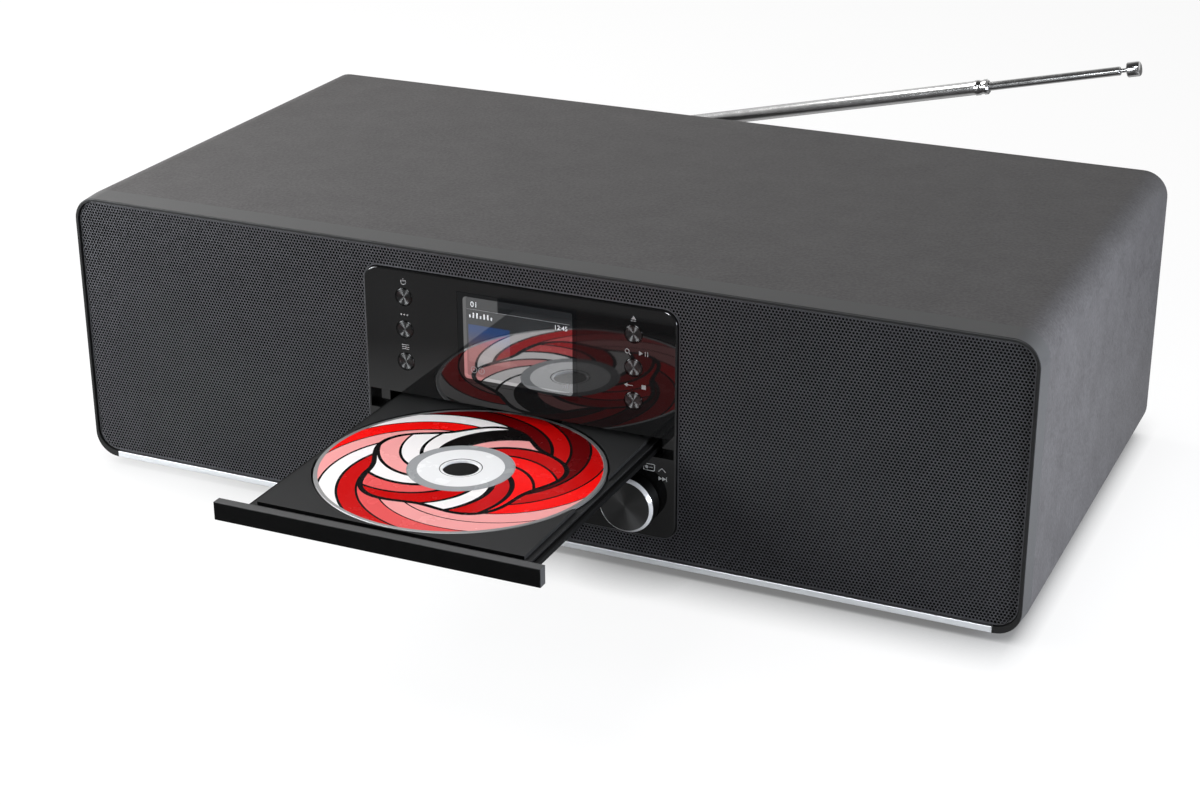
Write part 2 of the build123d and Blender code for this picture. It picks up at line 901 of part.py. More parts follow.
with BuildPart() as rear_panel_screws:
    for x, z in rear_screw_places:
        turned_y(
            x,
            z,
            [
                (0, panel_outer_y + screw_head_height),
                (screw_head_radius * screw_head_flat, panel_outer_y + screw_head_height),
                (screw_head_radius, panel_outer_y + screw_head_height / 2),
                (screw_head_radius, panel_outer_y),
                (rear_screw_radius, panel_outer_y),
                (rear_screw_radius, panel_inner_y + small_gap),
                (0, panel_inner_y + small_gap),
            ],
        )
save(rear_panel_screws.part, "rear_panel_screws")

# Bass ports: two flared tubes through the rear panel
port_front_y = panel_outer_y + port_flange_thickness
port_edge = 0.5
with BuildPart() as bass_ports:
    for x, z in port_places:
        turned_y(
            x,
            z,
            [
                (port_inner_radius, panel_outer_y - port_length),
                (port_inner_radius, panel_outer_y - port_flare_depth),
                (port_inner_radius + port_flare, port_front_y),
                (port_outer_radius + port_flange - port_edge, port_front_y),
                (port_outer_radius + port_flange, port_front_y - port_edge),
                (port_outer_radius + port_flange, panel_outer_y),
                (port_outer_radius, panel_outer_y),
                (port_outer_radius, panel_outer_y - port_length),
            ],
        )
save(bass_ports.part, "bass_ports")

# Two jack sockets
jack_mouth_y = panel_outer_y + jack_proud
with BuildPart() as rear_jacks:
    for x in jack_x:
        block(
            (x - jack_body / 2, x + jack_body / 2),
            (panel_inner_y - jack_body_depth, panel_inner_y),
            (board_z + board_thickness, jack_z + jack_body / 2),
        )
        ring_y(x, jack_z, 0, jack_bush_radius, (panel_inner_y - 1, jack_mouth_y))
        bore = (jack_mouth_y - jack_bore_depth, jack_mouth_y + 1)
        ring_y(x, jack_z, 0, jack_bore_radius, bore, Mode.SUBTRACT)
save(rear_jacks.part, "rear_jacks")

# Mains inlet with its two pins
socket_mouth_y = panel_outer_y + inlet_flange
socket_floor_y = socket_mouth_y - socket_depth
with BuildPart() as mains_inlet:
    block(
        (inlet_x - inlet_width / 2, inlet_x + inlet_width / 2),
        (panel_outer_y, socket_mouth_y),
        (inlet_z - inlet_height / 2, inlet_z + inlet_height / 2),
    )
    block(
        (inlet_x - inlet_body_half[0], inlet_x + inlet_body_half[0]),
        (socket_floor_y - inlet_back_wall, socket_mouth_y),
        (inlet_z - inlet_body_half[1], inlet_z + inlet_body_half[1]),
    )
    with BuildSketch(facing(socket_mouth_y)):
        with Locations((inlet_x, inlet_z)):
            SlotOverall(socket_width, socket_height)
    extrude(amount=socket_depth, mode=Mode.SUBTRACT)
    for side in (-1, 1):
        ring_y(
            inlet_x + side * inlet_pin_half_pitch,
            inlet_z,
            0,
            inlet_pin_radius,
            (socket_floor_y - inlet_back_wall / 2, socket_mouth_y - inlet_pin_below_mouth),
        )
save(mains_inlet.part, "mains_inlet")

# Feet
with BuildPart() as rubber_feet:
    for x in (-1, 1):
        for y in (-1, 1):
            ring_z(
                x * (cabinet_width / 2 - foot_inset_x),
                y * (cabinet_depth / 2 - foot_inset_y),
                0,
                foot_radius,
                (-foot_height, 0),
            )
save(rubber_feet.part, "rubber_feet")

# Boards on the cabinet's floor
board_rear_y = panel_inner_y - board_rear_gap
board_top = board_z + board_thickness
main_board_x = (-main_board_half_width, main_board_half_width)
main_board_y = (board_rear_y - main_board_depth, board_rear_y)
power_board_right = inner_half - power_board_from_wall
power_board_x = (drive_half_width + power_board_beside_drive, power_board_right)
power_board_y = (board_rear_y - power_board_depth, board_rear_y)
standoff_places = [
    (x, y)
    for bx, by in ((main_board_x, main_board_y), (power_board_x, power_board_y))
    for x in (bx[0] + standoff_inset, bx[1] - standoff_inset)
    for y in (by[0] + standoff_inset, by[1] - standoff_inset)
]
with BuildPart() as board_standoffs:
    for x, y in standoff_places:
        ring_z(x, y, 0, standoff_radius, (inner_low, board_z))
save(board_standoffs.part, "board_standoffs")

# Chips on the main board: distance from its left and front edges, width, depth and height
chips = [(26.0, 30.0, 14.0, 14.0, 1.4), (28.0, 80.0, 20.0, 10.0, 2.0), (76.0, 20.0, 10.0, 8.0, 1.2)]
with BuildPart() as main_board:
    block(main_board_x, main_board_y, (board_z, board_z + board_thickness))
    for from_left, from_front, width, depth, height in chips:
        x = main_board_x[0] + from_left
        y = main_board_y[0] + from_front
        chip_z = (board_top, board_top + height)
        block((x - width / 2, x + width / 2), (y - depth / 2, y + depth / 2), chip_z)
save(main_board.part, "main_board")

sink_width = (fin_count - 1) * fin_pitch + fin_thickness
sink_x = main_board_x[1] - standoff_inset - sink_width
sink_y = (main_board_y[0] + main_board_depth / 2, main_board_y[0] + main_board_depth / 2 + sink_depth)
with BuildPart() as heat_sink:
    block((sink_x, sink_x + sink_width), sink_y, (board_top, board_top + sink_base))
    for i in range(fin_count):
        x = sink_x + i * fin_pitch
        block((x, x + fin_thickness), sink_y, (board_top + sink_base, board_top + sink_height))
save(heat_sink.part, "heat_sink")

with BuildPart() as power_board:
    block(power_board_x, power_board_y, (board_z, board_top))
    tall = (board_top, board_top + tall_part_height)
    x = power_board_x[0] + 2 * standoff_inset
    y = power_board_y[0] + transformer_depth
    block((x, x + transformer_width), (y, y + transformer_depth), tall)
    capacitor_room = power_board_right - standoff_inset - (x + transformer_width)
    capacitor_pitch = capacitor_room / (capacitor_count + 1)
    for i in range(capacitor_count):
        capacitor_x = x + transformer_width + (i + 1) * capacitor_pitch
        ring_z(capacitor_x, y, 0, (capacitor_pitch - capacitor_gap) / 2, tall)
save(power_board.part, "power_board")


def gear_outline(teeth, turn):
    """Outline points of an involute spur gear about the origin, its first tooth turned by an angle."""
    pitch = gear_module * teeth / 2
    base = pitch * cos(radians(pressure_angle))
    tip = pitch + gear_module
    root = pitch - 1.25 * gear_module
    involute = tan(radians(pressure_angle)) - radians(pressure_angle)
    half_tooth = pi / (2 * teeth) - gear_backlash / pitch + involute
    start = max(base, root)
    flank = []
    for i in range(flank_steps + 1):
        r = start + (tip - start) * i / flank_steps
        roll = acos(base / r) if r > base else 0.0
        flank.append((r, half_tooth - (tan(roll) - roll)))
    points = []
    for tooth in range(teeth):
        middle = 2 * pi * tooth / teeth + radians(turn)
        rising = [(r, -a) for r, a in flank]
        falling = [(r, a) for r, a in reversed(flank)]
        if start > root:
            rising.insert(0, (root, -flank[0][1]))
            falling.append((root, flank[0][1]))
        for r, a in rising + falling:
            points.append((r * cos(middle + a), r * sin(middle + a)))
    return points


def toothed(x, y, teeth, z, turn=0.0, mode=Mode.ADD):
    """Spur gear with an upright axis through (x, y)."""
    with BuildSketch(Plane(origin=(x, y, z[0]))) as profile:
        with BuildLine():
            Polyline(*gear_outline(teeth, turn), close=True)
        make_face()
    extrude(profile.sketch, amount=z[1] - z[0], mode=mode)


# Where the loading gears stand
pinion_pitch = gear_module * pinion_teeth / 2
rack_pitch_x = pinion_x - pinion_pitch
pinion_y = baffle_rear_y + pinion_behind_front
gear_distance = gear_module * (wheel_teeth + small_gear_teeth) / 2
pulley_x = pinion_x + gear_distance * cos(radians(gear_line_angle))
pulley_y = pinion_y + gear_distance * sin(radians(gear_line_angle))
motor_x = pulley_x + belt_span
motor_y = pulley_y
rack_low = tray_under - rack_depth
pinion_z = (rack_low, tray_under - tray_gap)
wheel_z = (pinion_z[0] - wheel_below_rack - wheel_thickness, pinion_z[0] - wheel_below_rack)
small_gear_z = (wheel_z[0] - small_gear_lap, wheel_z[1] + small_gear_lap)
pulley_z = (small_gear_z[1] + pulley_above_gear, pinion_z[1] - tray_gap)
belt_z = (pulley_z[0] + pulley_z[1]) / 2

# Disc tray with its flanges, recesses, window and rack
rack_pitch = pi * gear_module
rack_back_x = rack_pitch_x - 1.25 * gear_module
rack_teeth = int((tray_travel + rack_past_travel) / rack_pitch)
rack_slope = tan(radians(pressure_angle))
rack_root_lap = 0.2
rack_first_y = pinion_y - rack_pitch / 2 + 2 * rack_pitch
rack_tip_half = rack_pitch / 4 - gear_backlash - gear_module * rack_slope
rack_root_half = rack_pitch / 4 - gear_backlash + 1.25 * gear_module * rack_slope
with BuildPart() as disc_tray:
    block((-tray_half_width, tray_half_width), (bar_rear_y, tray_rear_y), (tray_under, tray_top))
    for side in (-1, 1):
        inner, outer = sorted((side * (tray_half_width - tray_flange_lap), side * tray_outer))
        block((inner, outer), (bar_rear_y, tray_rear_y), (tray_under - tray_flange_thick, tray_under))
    block(
        (-tray_half_width, rack_back_x),
        (rack_first_y - (rack_teeth - 0.5) * rack_pitch, rack_first_y + rack_pitch / 2),
        (rack_low, tray_under),
    )
    with BuildSketch(level(rack_low)):
        for i in range(rack_teeth):
            y = rack_first_y - i * rack_pitch
            with BuildLine():
                Polyline(
                    (rack_back_x - rack_root_lap, y - rack_root_half),
                    (rack_back_x, y - rack_root_half),
                    (rack_pitch_x + gear_module, y - rack_tip_half),
                    (rack_pitch_x + gear_module, y + rack_tip_half),
                    (rack_back_x, y + rack_root_half),
                    (rack_back_x - rack_root_lap, y + rack_root_half),
                    close=True,
                )
            make_face()
    extrude(amount=tray_under - rack_low)
    recess_floor = tray_top - disc_recess_depth
    ring_z(0, disc_y, 0, disc_radius + disc_recess_gap, (recess_floor, tray_top + 1), Mode.SUBTRACT)
    ring_z(
        0,
        disc_y,
        0,
        small_disc_recess_radius,
        (recess_floor - small_disc_recess_depth, tray_top),
        Mode.SUBTRACT,
    )
    ring_z(0, disc_y, 0, tray_hub_radius, (tray_under - 1, tray_top), Mode.SUBTRACT)
    block(
        (-tray_window_half, tray_window_half),
        (disc_y, disc_y + pickup_travel + tray_window_past_pickup),
        (tray_under - 1, tray_top),
        Mode.SUBTRACT,
    )
save(disc_tray.part, "disc_tray")

# Tray front: the bar that closes the slot
with BuildPart() as tray_front:
    block((-bar_width / 2, bar_width / 2), (bar_front_y, bar_rear_y), (bar_bottom, bar_bottom + bar_height))
    fillet(tray_front.faces().sort_by(Axis.Y)[0].edges(), bar_edge)
save(tray_front.part, "tray_front")

# Compact disc
with BuildPart() as compact_disc:
    ring_z(0, disc_y, disc_hole_radius, disc_radius, (disc_under, disc_top))
save(compact_disc.part, "compact_disc")

# Drive frame: floor, side walls with the tray's ledges, posts for gears and dampers, and four legs
wall_inner = drive_half_width - drive_side_wall
drive_front_y = baffle_rear_y
drive_rear_y = tray_rear_y + tray_travel + drive_behind_tray
drive_floor = (drive_floor_top - drive_floor_thickness, drive_floor_top)
traverse_y = (spindle_y - traverse_front, spindle_y + traverse_back)
damper_rows = (traverse_y[0] + damper_inset, traverse_y[1] - damper_inset)
damper_places = [(s * damper_x, y) for s in (-1, 1) for y in damper_rows]
leg_rows = (drive_front_y + drive_leg_inset, drive_rear_y - drive_leg_inset)
leg_places = [(s * (drive_half_width - drive_leg_inset), y) for s in (-1, 1) for y in leg_rows]
traverse_low = drive_floor_top + traverse_above_floor
traverse_high = traverse_low + traverse_thickness
ledge_top = tray_under - tray_flange_thick - tray_gap
guide_low = tray_under + tray_gap
damper_seat_top = traverse_low - damper_lip - damper_seat_gap
post_foot_top = small_gear_z[0] - small_gap
through_floor = (drive_floor[0] - 1, drive_floor_top + 1)
with BuildPart() as drive_frame:
    block((-drive_half_width, drive_half_width), (drive_front_y, drive_rear_y), drive_floor)
    for side in (-1, 1):
        x = sorted((side * wall_inner, side * drive_half_width))
        block(x, (drive_front_y, drive_rear_y), (drive_floor_top, drive_wall_top))
        x = sorted((side * (tray_half_width + tray_side_gap), side * wall_inner))
        block(x, (drive_front_y, drive_rear_y), (ledge_top - ledge_thickness, ledge_top))
        block(x, (drive_front_y, drive_rear_y), (guide_low, guide_low + guide_thickness))
    block(
        (-drive_window_half, drive_window_half),
        (traverse_y[0] - drive_window_room, traverse_y[1] + drive_window_room),
        through_floor,
        Mode.SUBTRACT,
    )
    for x, y in damper_places:
        ring_z(x, y, 0, damper_seat_radius, (drive_floor_top - 1, damper_seat_top))
        ring_z(x, y, 0, damper_post_radius, (drive_floor_top, traverse_high + lift_travel + 1.0))
    for x, y in ((pinion_x, pinion_y), (pulley_x, pulley_y)):
        ring_z(x, y, 0, gear_post_radius + gear_post_foot, (drive_floor_top - 1, post_foot_top))
        ring_z(x, y, 0, gear_post_radius, (drive_floor_top, pinion_z[1]))
    ring_z(motor_x, motor_y, 0, loading_hole_radius, through_floor, Mode.SUBTRACT)
    wheel_radius = gear_module * (wheel_teeth / 2 + 1)
    ring_z(
        pinion_x,
        pinion_y,
        gear_post_radius + gear_post_foot,
        wheel_radius + wheel_pocket_gap,
        (wheel_z[0] - tray_gap, wheel_z[1] + tray_gap),
        Mode.SUBTRACT,
    )
    for x, y in leg_places:
        ring_z(x, y, 0, drive_leg_radius, (inner_low, drive_floor_top - 1))
save(drive_frame.part, "drive_frame")

# Clamp bridge across the side walls, and the puck that hangs in it
puck_hole_radius = puck_hub_radius + puck_hub_gap
puck_low = disc_top + puck_above_disc
with BuildPart() as clamp_bridge:
    block(
        (-drive_half_width, drive_half_width),
        (spindle_y - bridge_depth / 2, spindle_y + bridge_depth / 2),
        (drive_wall_top, drive_wall_top + bridge_thickness),
    )
    ring_z(0, spindle_y, 0, puck_hole_radius, (drive_wall_top - 1, drive_wall_top + 5), Mode.SUBTRACT)
save(clamp_bridge.part, "clamp_bridge")

cap_low = drive_wall_top + bridge_thickness + puck_cap_gap
puck_cap_z = (cap_low, cap_low + puck_cap_thickness)
with BuildPart() as clamp_puck:
    turned_z(
        0,
        spindle_y,
        [
            (0, puck_low),
            (puck_radius, puck_low),
            (puck_radius, drive_wall_top - tray_gap),
            (puck_hub_radius, drive_wall_top - tray_gap),
            (puck_hub_radius, puck_cap_z[0]),
            (puck_hub_radius + puck_cap_wide, puck_cap_z[0]),
            (puck_hub_radius + puck_cap_wide, puck_cap_z[1]),
            (0, puck_cap_z[1]),
        ],
    )
save(clamp_puck.part, "clamp_puck")

# Traverse plate: spindle motor, guide rods and sled screw are fixed to it
window_front_y = spindle_y + pickup_window_from_spindle
window_length = pickup_length + pickup_travel + 4 * pickup_end_room
window_y = (window_front_y, window_front_y + window_length)
rod_z = (traverse_low + traverse_high) / 2
rod_hole_y = (window_y[0] - rod_seat + rod_end_cover, window_y[1] + rod_seat - rod_end_cover)
screw_z = traverse_low - rod_seat_drop - sled_motor_radius - 2 * small_gap
screw_front_y = window_y[0] - screw_bearing_half + screw_end_gap
through_plate = (traverse_low - 1, traverse_high + 1)
with BuildPart() as traverse_frame:
    block((-traverse_half_width, traverse_half_width), traverse_y, (traverse_low, traverse_high))
    block(
        (-rod_x - rod_seat, rod_x + rod_seat),
        (window_y[0] - rod_seat, window_y[1] + rod_seat),
        (traverse_low - rod_seat_drop, traverse_high + rod_seat_drop),
    )
    block(
        (-pickup_window_half, pickup_window_half),
        window_y,
        (traverse_low - 2, traverse_high + 2),
        Mode.SUBTRACT,
    )
    for side in (-1, 1):
        ring_y(
            side * rod_x,
            rod_z,
            0,
            rod_radius + running_gap,
            rod_hole_y,
            Mode.SUBTRACT,
        )
    block(
        (screw_x - screw_bearing_half, screw_x + screw_bearing_half),
        (window_y[0] - screw_bearing_half, window_y[0]),
        (screw_z - screw_bearing_low, traverse_low),
    )
    bearing_y = (window_y[0] - screw_bearing_half - 1, window_y[0] + 1)
    ring_y(screw_x, screw_z, 0, screw_radius + running_gap, bearing_y, Mode.SUBTRACT)
    for x, y in damper_places:
        ring_z(x, y, 0, damper_radius + running_gap, through_plate, Mode.SUBTRACT)
    ring_z(0, spindle_y, 0, spindle_hole_radius, through_plate, Mode.SUBTRACT)
save(traverse_frame.part, "traverse_frame")

with BuildPart() as traverse_dampers:
    for x, y in damper_places:
        ring_z(
            x,
            y,
            damper_post_radius + 2 * running_gap,
            damper_radius,
            (traverse_low - damper_lip, traverse_high + damper_lip),
        )
save(traverse_dampers.part, "traverse_dampers")

with BuildPart() as guide_rods:
    for side in (-1, 1):
        ring_y(
            side * rod_x, rod_z, 0, rod_radius, (rod_hole_y[0] + rod_end_gap, rod_hole_y[1] - rod_end_gap)
        )
save(guide_rods.part, "guide_rods")

pickup_y = (window_y[0] + pickup_end_room, window_y[0] + pickup_end_room + pickup_length)
pickup_low = traverse_low - pickup_height_past_plate
pickup_high = traverse_high + pickup_height_past_plate
lens_y = pickup_y[0] + lens_from_front
with BuildPart() as laser_pickup:
    block((-pickup_half_width, pickup_half_width), pickup_y, (pickup_low, pickup_high))
    ring_z(0, lens_y, 0, lens_mount_radius, (pickup_high, pickup_high + lens_mount_height))
    ring_z(0, lens_y, 0, lens_radius, (pickup_high, pickup_high + lens_height))
    for side in (-1, 1):
        through_pickup = (pickup_y[0] - 1, pickup_y[1] + 1)
        ring_y(side * rod_x, rod_z, 0, rod_radius + running_gap, through_pickup, Mode.SUBTRACT)
    block(
        (screw_x - follower_half_width, screw_x + follower_half_width),
        (pickup_y[0] + follower_front, pickup_y[0] + follower_front + follower_length),
        (screw_z + screw_radius + tray_gap, pickup_low),
    )
save(laser_pickup.part, "laser_pickup")

sled_motor_y = (window_y[1] + screw_end_gap, window_y[1] + screw_end_gap + sled_motor_length)
screw_rear_y = sled_motor_y[0] + screw_in_motor
with BuildPart() as lead_screw:
    ring_y(screw_x, screw_z, 0, screw_radius, (screw_front_y, screw_rear_y))
save(lead_screw.part, "lead_screw")

with BuildPart() as sled_motor:
    ring_y(screw_x, screw_z, 0, sled_motor_radius, sled_motor_y)
    ring_y(
        screw_x,
        screw_z,
        0,
        screw_radius + running_gap,
        (sled_motor_y[0] - 1, screw_rear_y + screw_end_gap),
        Mode.SUBTRACT,
    )
save(sled_motor.part, "sled_motor")

turntable_top = disc_under - turntable_below_disc - lift_travel
spindle_floor_z = traverse_low - spindle_motor_height + spindle_end_room
with BuildPart() as spindle_motor:
    ring_z(0, spindle_y, 0, spindle_motor_radius, (traverse_low - spindle_motor_height, traverse_low))
    ring_z(
        0,
        spindle_y,
        0,
        spindle_shaft_radius + running_gap,
        (spindle_floor_z, traverse_low + 1),
        Mode.SUBTRACT,
    )
save(spindle_motor.part, "spindle_motor")

with BuildPart() as turntable:
    turned_z(
        0,
        spindle_y,
        [
            (0, turntable_top + hub_boss_height),
            (hub_boss_radius - hub_boss_slope_wide, turntable_top + hub_boss_height),
            (hub_boss_radius, turntable_top + hub_boss_height - hub_boss_slope_high),
            (hub_boss_radius, turntable_top),
            (turntable_radius, turntable_top),
            (turntable_radius, turntable_top - turntable_thickness),
            (spindle_shaft_radius, turntable_top - turntable_thickness),
            (spindle_shaft_radius, spindle_floor_z + spindle_end_gap),
            (0, spindle_floor_z + spindle_end_gap),
        ],
    )
save(turntable.part, "turntable")

# Loading train: motor, pulley, belt, pulley gear and the wheel that drives the rack
shaft_floor_z = drive_floor[0] - loading_shaft_depth
with BuildPart() as loading_motor:
    ring_z(
        motor_x,
        motor_y,
        0,
        loading_motor_radius,
        (drive_floor[0] - loading_motor_height, drive_floor[0]),
    )
    ring_z(
        motor_x,
        motor_y,
        0,
        spindle_shaft_radius + running_gap,
        (shaft_floor_z, drive_floor[0] + 1),
        Mode.SUBTRACT,
    )
save(loading_motor.part, "loading_motor")


def pulley_outline(radius, z):
    """Half section of a pulley rim with a square groove for the belt."""
    groove = belt_height / 2 + belt_gap
    return [
        (radius + belt_thickness, z[0]),
        (radius + belt_thickness, belt_z - groove),
        (radius, belt_z - groove),
        (radius, belt_z + groove),
        (radius + belt_thickness, belt_z + groove),
        (radius + belt_thickness, z[1]),
    ]


with BuildPart() as motor_pulley:
    turned_z(
        motor_x,
        motor_y,
        [(spindle_shaft_radius, pulley_z[0])]
        + pulley_outline(motor_pulley_radius, pulley_z)
        + [
            (0, pulley_z[1]),
            (0, shaft_floor_z + spindle_end_gap),
            (spindle_shaft_radius, shaft_floor_z + spindle_end_gap),
        ],
    )
save(motor_pulley.part, "motor_pulley")

with BuildPart() as pulley_gear:
    turned_z(
        pulley_x,
        pulley_y,
        [(gear_post_radius + running_gap, pulley_z[0])]
        + pulley_outline(pulley_radius, pulley_z)
        + [(gear_post_radius + running_gap, pulley_z[1])],
    )
    toothed(pulley_x, pulley_y, small_gear_teeth, (small_gear_z[0], pulley_z[0]), 180 / small_gear_teeth)
    through_gear = (small_gear_z[0] - 1, pulley_z[1] + 1)
    ring_z(pulley_x, pulley_y, 0, gear_post_radius + running_gap, through_gear, Mode.SUBTRACT)
save(pulley_gear.part, "pulley_gear")

with BuildPart() as drive_gear:
    toothed(pinion_x, pinion_y, wheel_teeth, wheel_z)
    toothed(pinion_x, pinion_y, pinion_teeth, (wheel_z[1], pinion_z[1]))
    through_gear = (wheel_z[0] - 1, pinion_z[1] + 1)
    ring_z(pinion_x, pinion_y, 0, gear_post_radius + running_gap, through_gear, Mode.SUBTRACT)
save(drive_gear.part, "drive_gear")

# Belt: outside tangents joined round the two pulleys
tangent = acos((pulley_radius - motor_pulley_radius) / belt_span)


def belt_loop(extra):
    """Closed belt line at a distance outside both grooves."""
    big = pulley_radius + extra
    small = motor_pulley_radius + extra
    c, s = cos(tangent), sin(tangent)
    with BuildSketch(Plane(origin=(pulley_x, pulley_y, belt_z - belt_height / 2))) as loop:
        with BuildLine():
            Line((big * c, big * s), (belt_span + small * c, small * s))
            ThreePointArc(
                (belt_span + small * c, small * s),
                (belt_span + small, 0),
                (belt_span + small * c, -small * s),
            )
            Line((belt_span + small * c, -small * s), (big * c, -big * s))
            ThreePointArc((big * c, -big * s), (-big, 0), (big * c, big * s))
        make_face()
    return loop.sketch


with BuildPart() as drive_belt:
    extrude(belt_loop(belt_gap + belt_thickness), amount=belt_height)
    extrude(belt_loop(belt_gap), amount=belt_height, mode=Mode.SUBTRACT)
save(drive_belt.part, "drive_belt")

# Antenna: socket in the rear panel, swivel head, and three telescopic pieces
tube_y = rear_y + antenna_standoff
lean = radians(antenna_angle)
along = Vector(cos(lean), 0, sin(lean))
pivot = Vector(antenna_x, tube_y, antenna_z)
socket_face_y = panel_outer_y + antenna_socket_proud
socket_outer = antenna_stem_radius + antenna_socket_wall
socket_rear_y = panel_inner_y - antenna_socket_depth
stem_hole = antenna_stem_radius + running_gap
with BuildPart() as antenna_socket:
    turned_y(
        antenna_x,
        antenna_z,
        [
            (stem_hole, socket_rear_y),
            (socket_outer, socket_rear_y),
            (socket_outer, panel_outer_y),
            (antenna_flange_radius, panel_outer_y),
            (antenna_flange_radius, socket_face_y - antenna_socket_edge),
            (antenna_flange_radius - antenna_socket_edge, socket_face_y),
            (stem_hole, socket_face_y),
        ],
    )
save(antenna_socket.part, "antenna_socket")

# Planes square to the tube: one across it for turned pieces, one along the tilt pin
side_plane = Plane(origin=pivot, x_dir=along, z_dir=(0, -1, 0))
pin_direction = side_plane.y_dir
pin_plane = Plane(origin=pivot, x_dir=along, z_dir=pin_direction)
rearward = 1 if pin_plane.y_dir.Y > 0 else -1
ear_outer = antenna_tang / 2 + small_gap + antenna_ear
ear_radius = antenna_head_half - antenna_head_wall
ear_reach = tube_y - socket_face_y - antenna_turn_gap
fork_radius = antenna_head_half + tray_gap
with BuildPart() as antenna_swivel:
    with BuildSketch(pin_plane.offset(-ear_outer)):
        Circle(ear_radius)
        with Locations((0, -rearward * ear_reach / 2)):
            Rectangle(2 * ear_radius, ear_reach)
    extrude(amount=2 * ear_outer)
    with BuildSketch(pin_plane.offset(-antenna_tang / 2 - small_gap)):
        Circle(fork_radius)
        with Locations((antenna_head_half, 0)):
            Rectangle(2 * antenna_head_half, 2 * fork_radius)
        with Locations((0, rearward * antenna_head_half)):
            Rectangle(2 * antenna_head_half, 2 * antenna_head_half)
    extrude(amount=antenna_tang + 2 * small_gap, mode=Mode.SUBTRACT)
    with BuildSketch(pin_plane.offset(-ear_outer)):
        Circle(antenna_pin_radius)
    extrude(amount=2 * ear_outer)
    ring_y(
        antenna_x,
        antenna_z,
        0,
        antenna_stem_radius,
        (socket_rear_y + antenna_turn_gap, tube_y - fork_radius - small_gap),
    )
save(antenna_swivel.part, "antenna_swivel")


def turned_along(outline, mode=Mode.ADD):
    """Solid turned about the antenna's line. The outline holds (distance from pivot, radius) points."""
    with BuildSketch(side_plane) as profile:
        with BuildLine():
            Polyline(*outline, close=True)
        make_face()
    revolve(profile.sketch, axis=Axis(pivot, along), mode=mode)


tube_start = antenna_head_half + antenna_neck
base_end = antenna_base_length
ferrule_start = base_end - ferrule_length
ferrule_radius = antenna_base_radius + ferrule_rise
tang_radius = ear_radius - bead_slope
with BuildPart() as antenna_base_tube:
    turned_along(
        [
            (tube_start, 0),
            (tube_start, antenna_base_radius - bead_slope),
            (tube_start + bead_slope, antenna_base_radius),
            (ferrule_start, antenna_base_radius),
            (ferrule_start + bead_slope, ferrule_radius),
            (base_end - bead_groove_start, ferrule_radius),
            (base_end - bead_groove_start + bead_slope, antenna_base_radius),
            (base_end - bead_groove_end - bead_slope, antenna_base_radius),
            (base_end - bead_groove_end, ferrule_radius),
            (base_end - 2 * bead_slope, ferrule_radius),
            (base_end, ferrule_radius - 2 * bead_slope),
            (base_end, antenna_mid_radius + running_gap),
            (ferrule_start, antenna_mid_radius + running_gap),
            (ferrule_start, antenna_base_bore),
            (tube_start + antenna_end_wall, antenna_base_bore),
            (tube_start + antenna_end_wall, 0),
        ]
    )
    with BuildSketch(pin_plane.offset(-antenna_tang / 2)):
        Circle(tang_radius)
        with Locations(((tube_start + antenna_end_wall / 3) / 2, 0)):
            Rectangle(tube_start + antenna_end_wall / 3, 2 * (antenna_base_radius - antenna_socket_edge))
    extrude(amount=antenna_tang)
    with BuildSketch(pin_plane.offset(-antenna_tang)):
        Circle(antenna_pin_radius + running_gap)
    extrude(amount=2 * antenna_tang, mode=Mode.SUBTRACT)
save(antenna_base_tube.part, "antenna_base_tube")

mid_end = base_end + antenna_mid_out
mid_start = mid_end - antenna_mid_length
mid_slider_radius = antenna_base_bore - running_gap
with BuildPart() as antenna_mid_tube:
    turned_along(
        [
            (mid_start, antenna_mid_bore),
            (mid_start, mid_slider_radius),
            (mid_start + slider_length, mid_slider_radius),
            (mid_start + slider_length, antenna_mid_radius),
            (mid_end - bead_slope, antenna_mid_radius),
            (mid_end, antenna_mid_radius - bead_slope),
            (mid_end, antenna_rod_radius + running_gap),
            (mid_end - mid_collar_length, antenna_rod_radius + running_gap),
            (mid_end - mid_collar_length, antenna_mid_bore),
        ]
    )
save(antenna_mid_tube.part, "antenna_mid_tube")

rod_end = mid_end + antenna_rod_out
rod_start = rod_end - antenna_rod_length
with BuildPart() as antenna_tip_rod:
    turned_along(
        [
            (rod_start, 0),
            (rod_start, antenna_mid_bore - running_gap),
            (rod_start + rod_slider_length, antenna_mid_bore - running_gap),
            (rod_start + rod_slider_length, antenna_rod_radius),
            (rod_end, antenna_rod_radius),
            (rod_end, antenna_cap_radius - antenna_cap_edge),
            (rod_end + antenna_cap_edge, antenna_cap_radius),
            (rod_end + antenna_cap_length - antenna_cap_nose, antenna_cap_radius),
            (rod_end + antenna_cap_length, antenna_cap_radius - antenna_cap_nose),
            (rod_end + antenna_cap_length, 0),
        ]
    )
save(antenna_tip_rod.part, "antenna_tip_rod")

print("pinion", pinion_x, pinion_y, "pulley gear", pulley_x, pulley_y, "motor", motor_x, motor_y)
print("disc", disc_y, "spindle", spindle_y, "screw", screw_x, screw_z)
print("antenna pivot", pivot, "along", along)
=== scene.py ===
import json
from math import cos, hypot, radians, sin, sqrt, tau

import bmesh
import bpy
from mathutils import Matrix, Vector


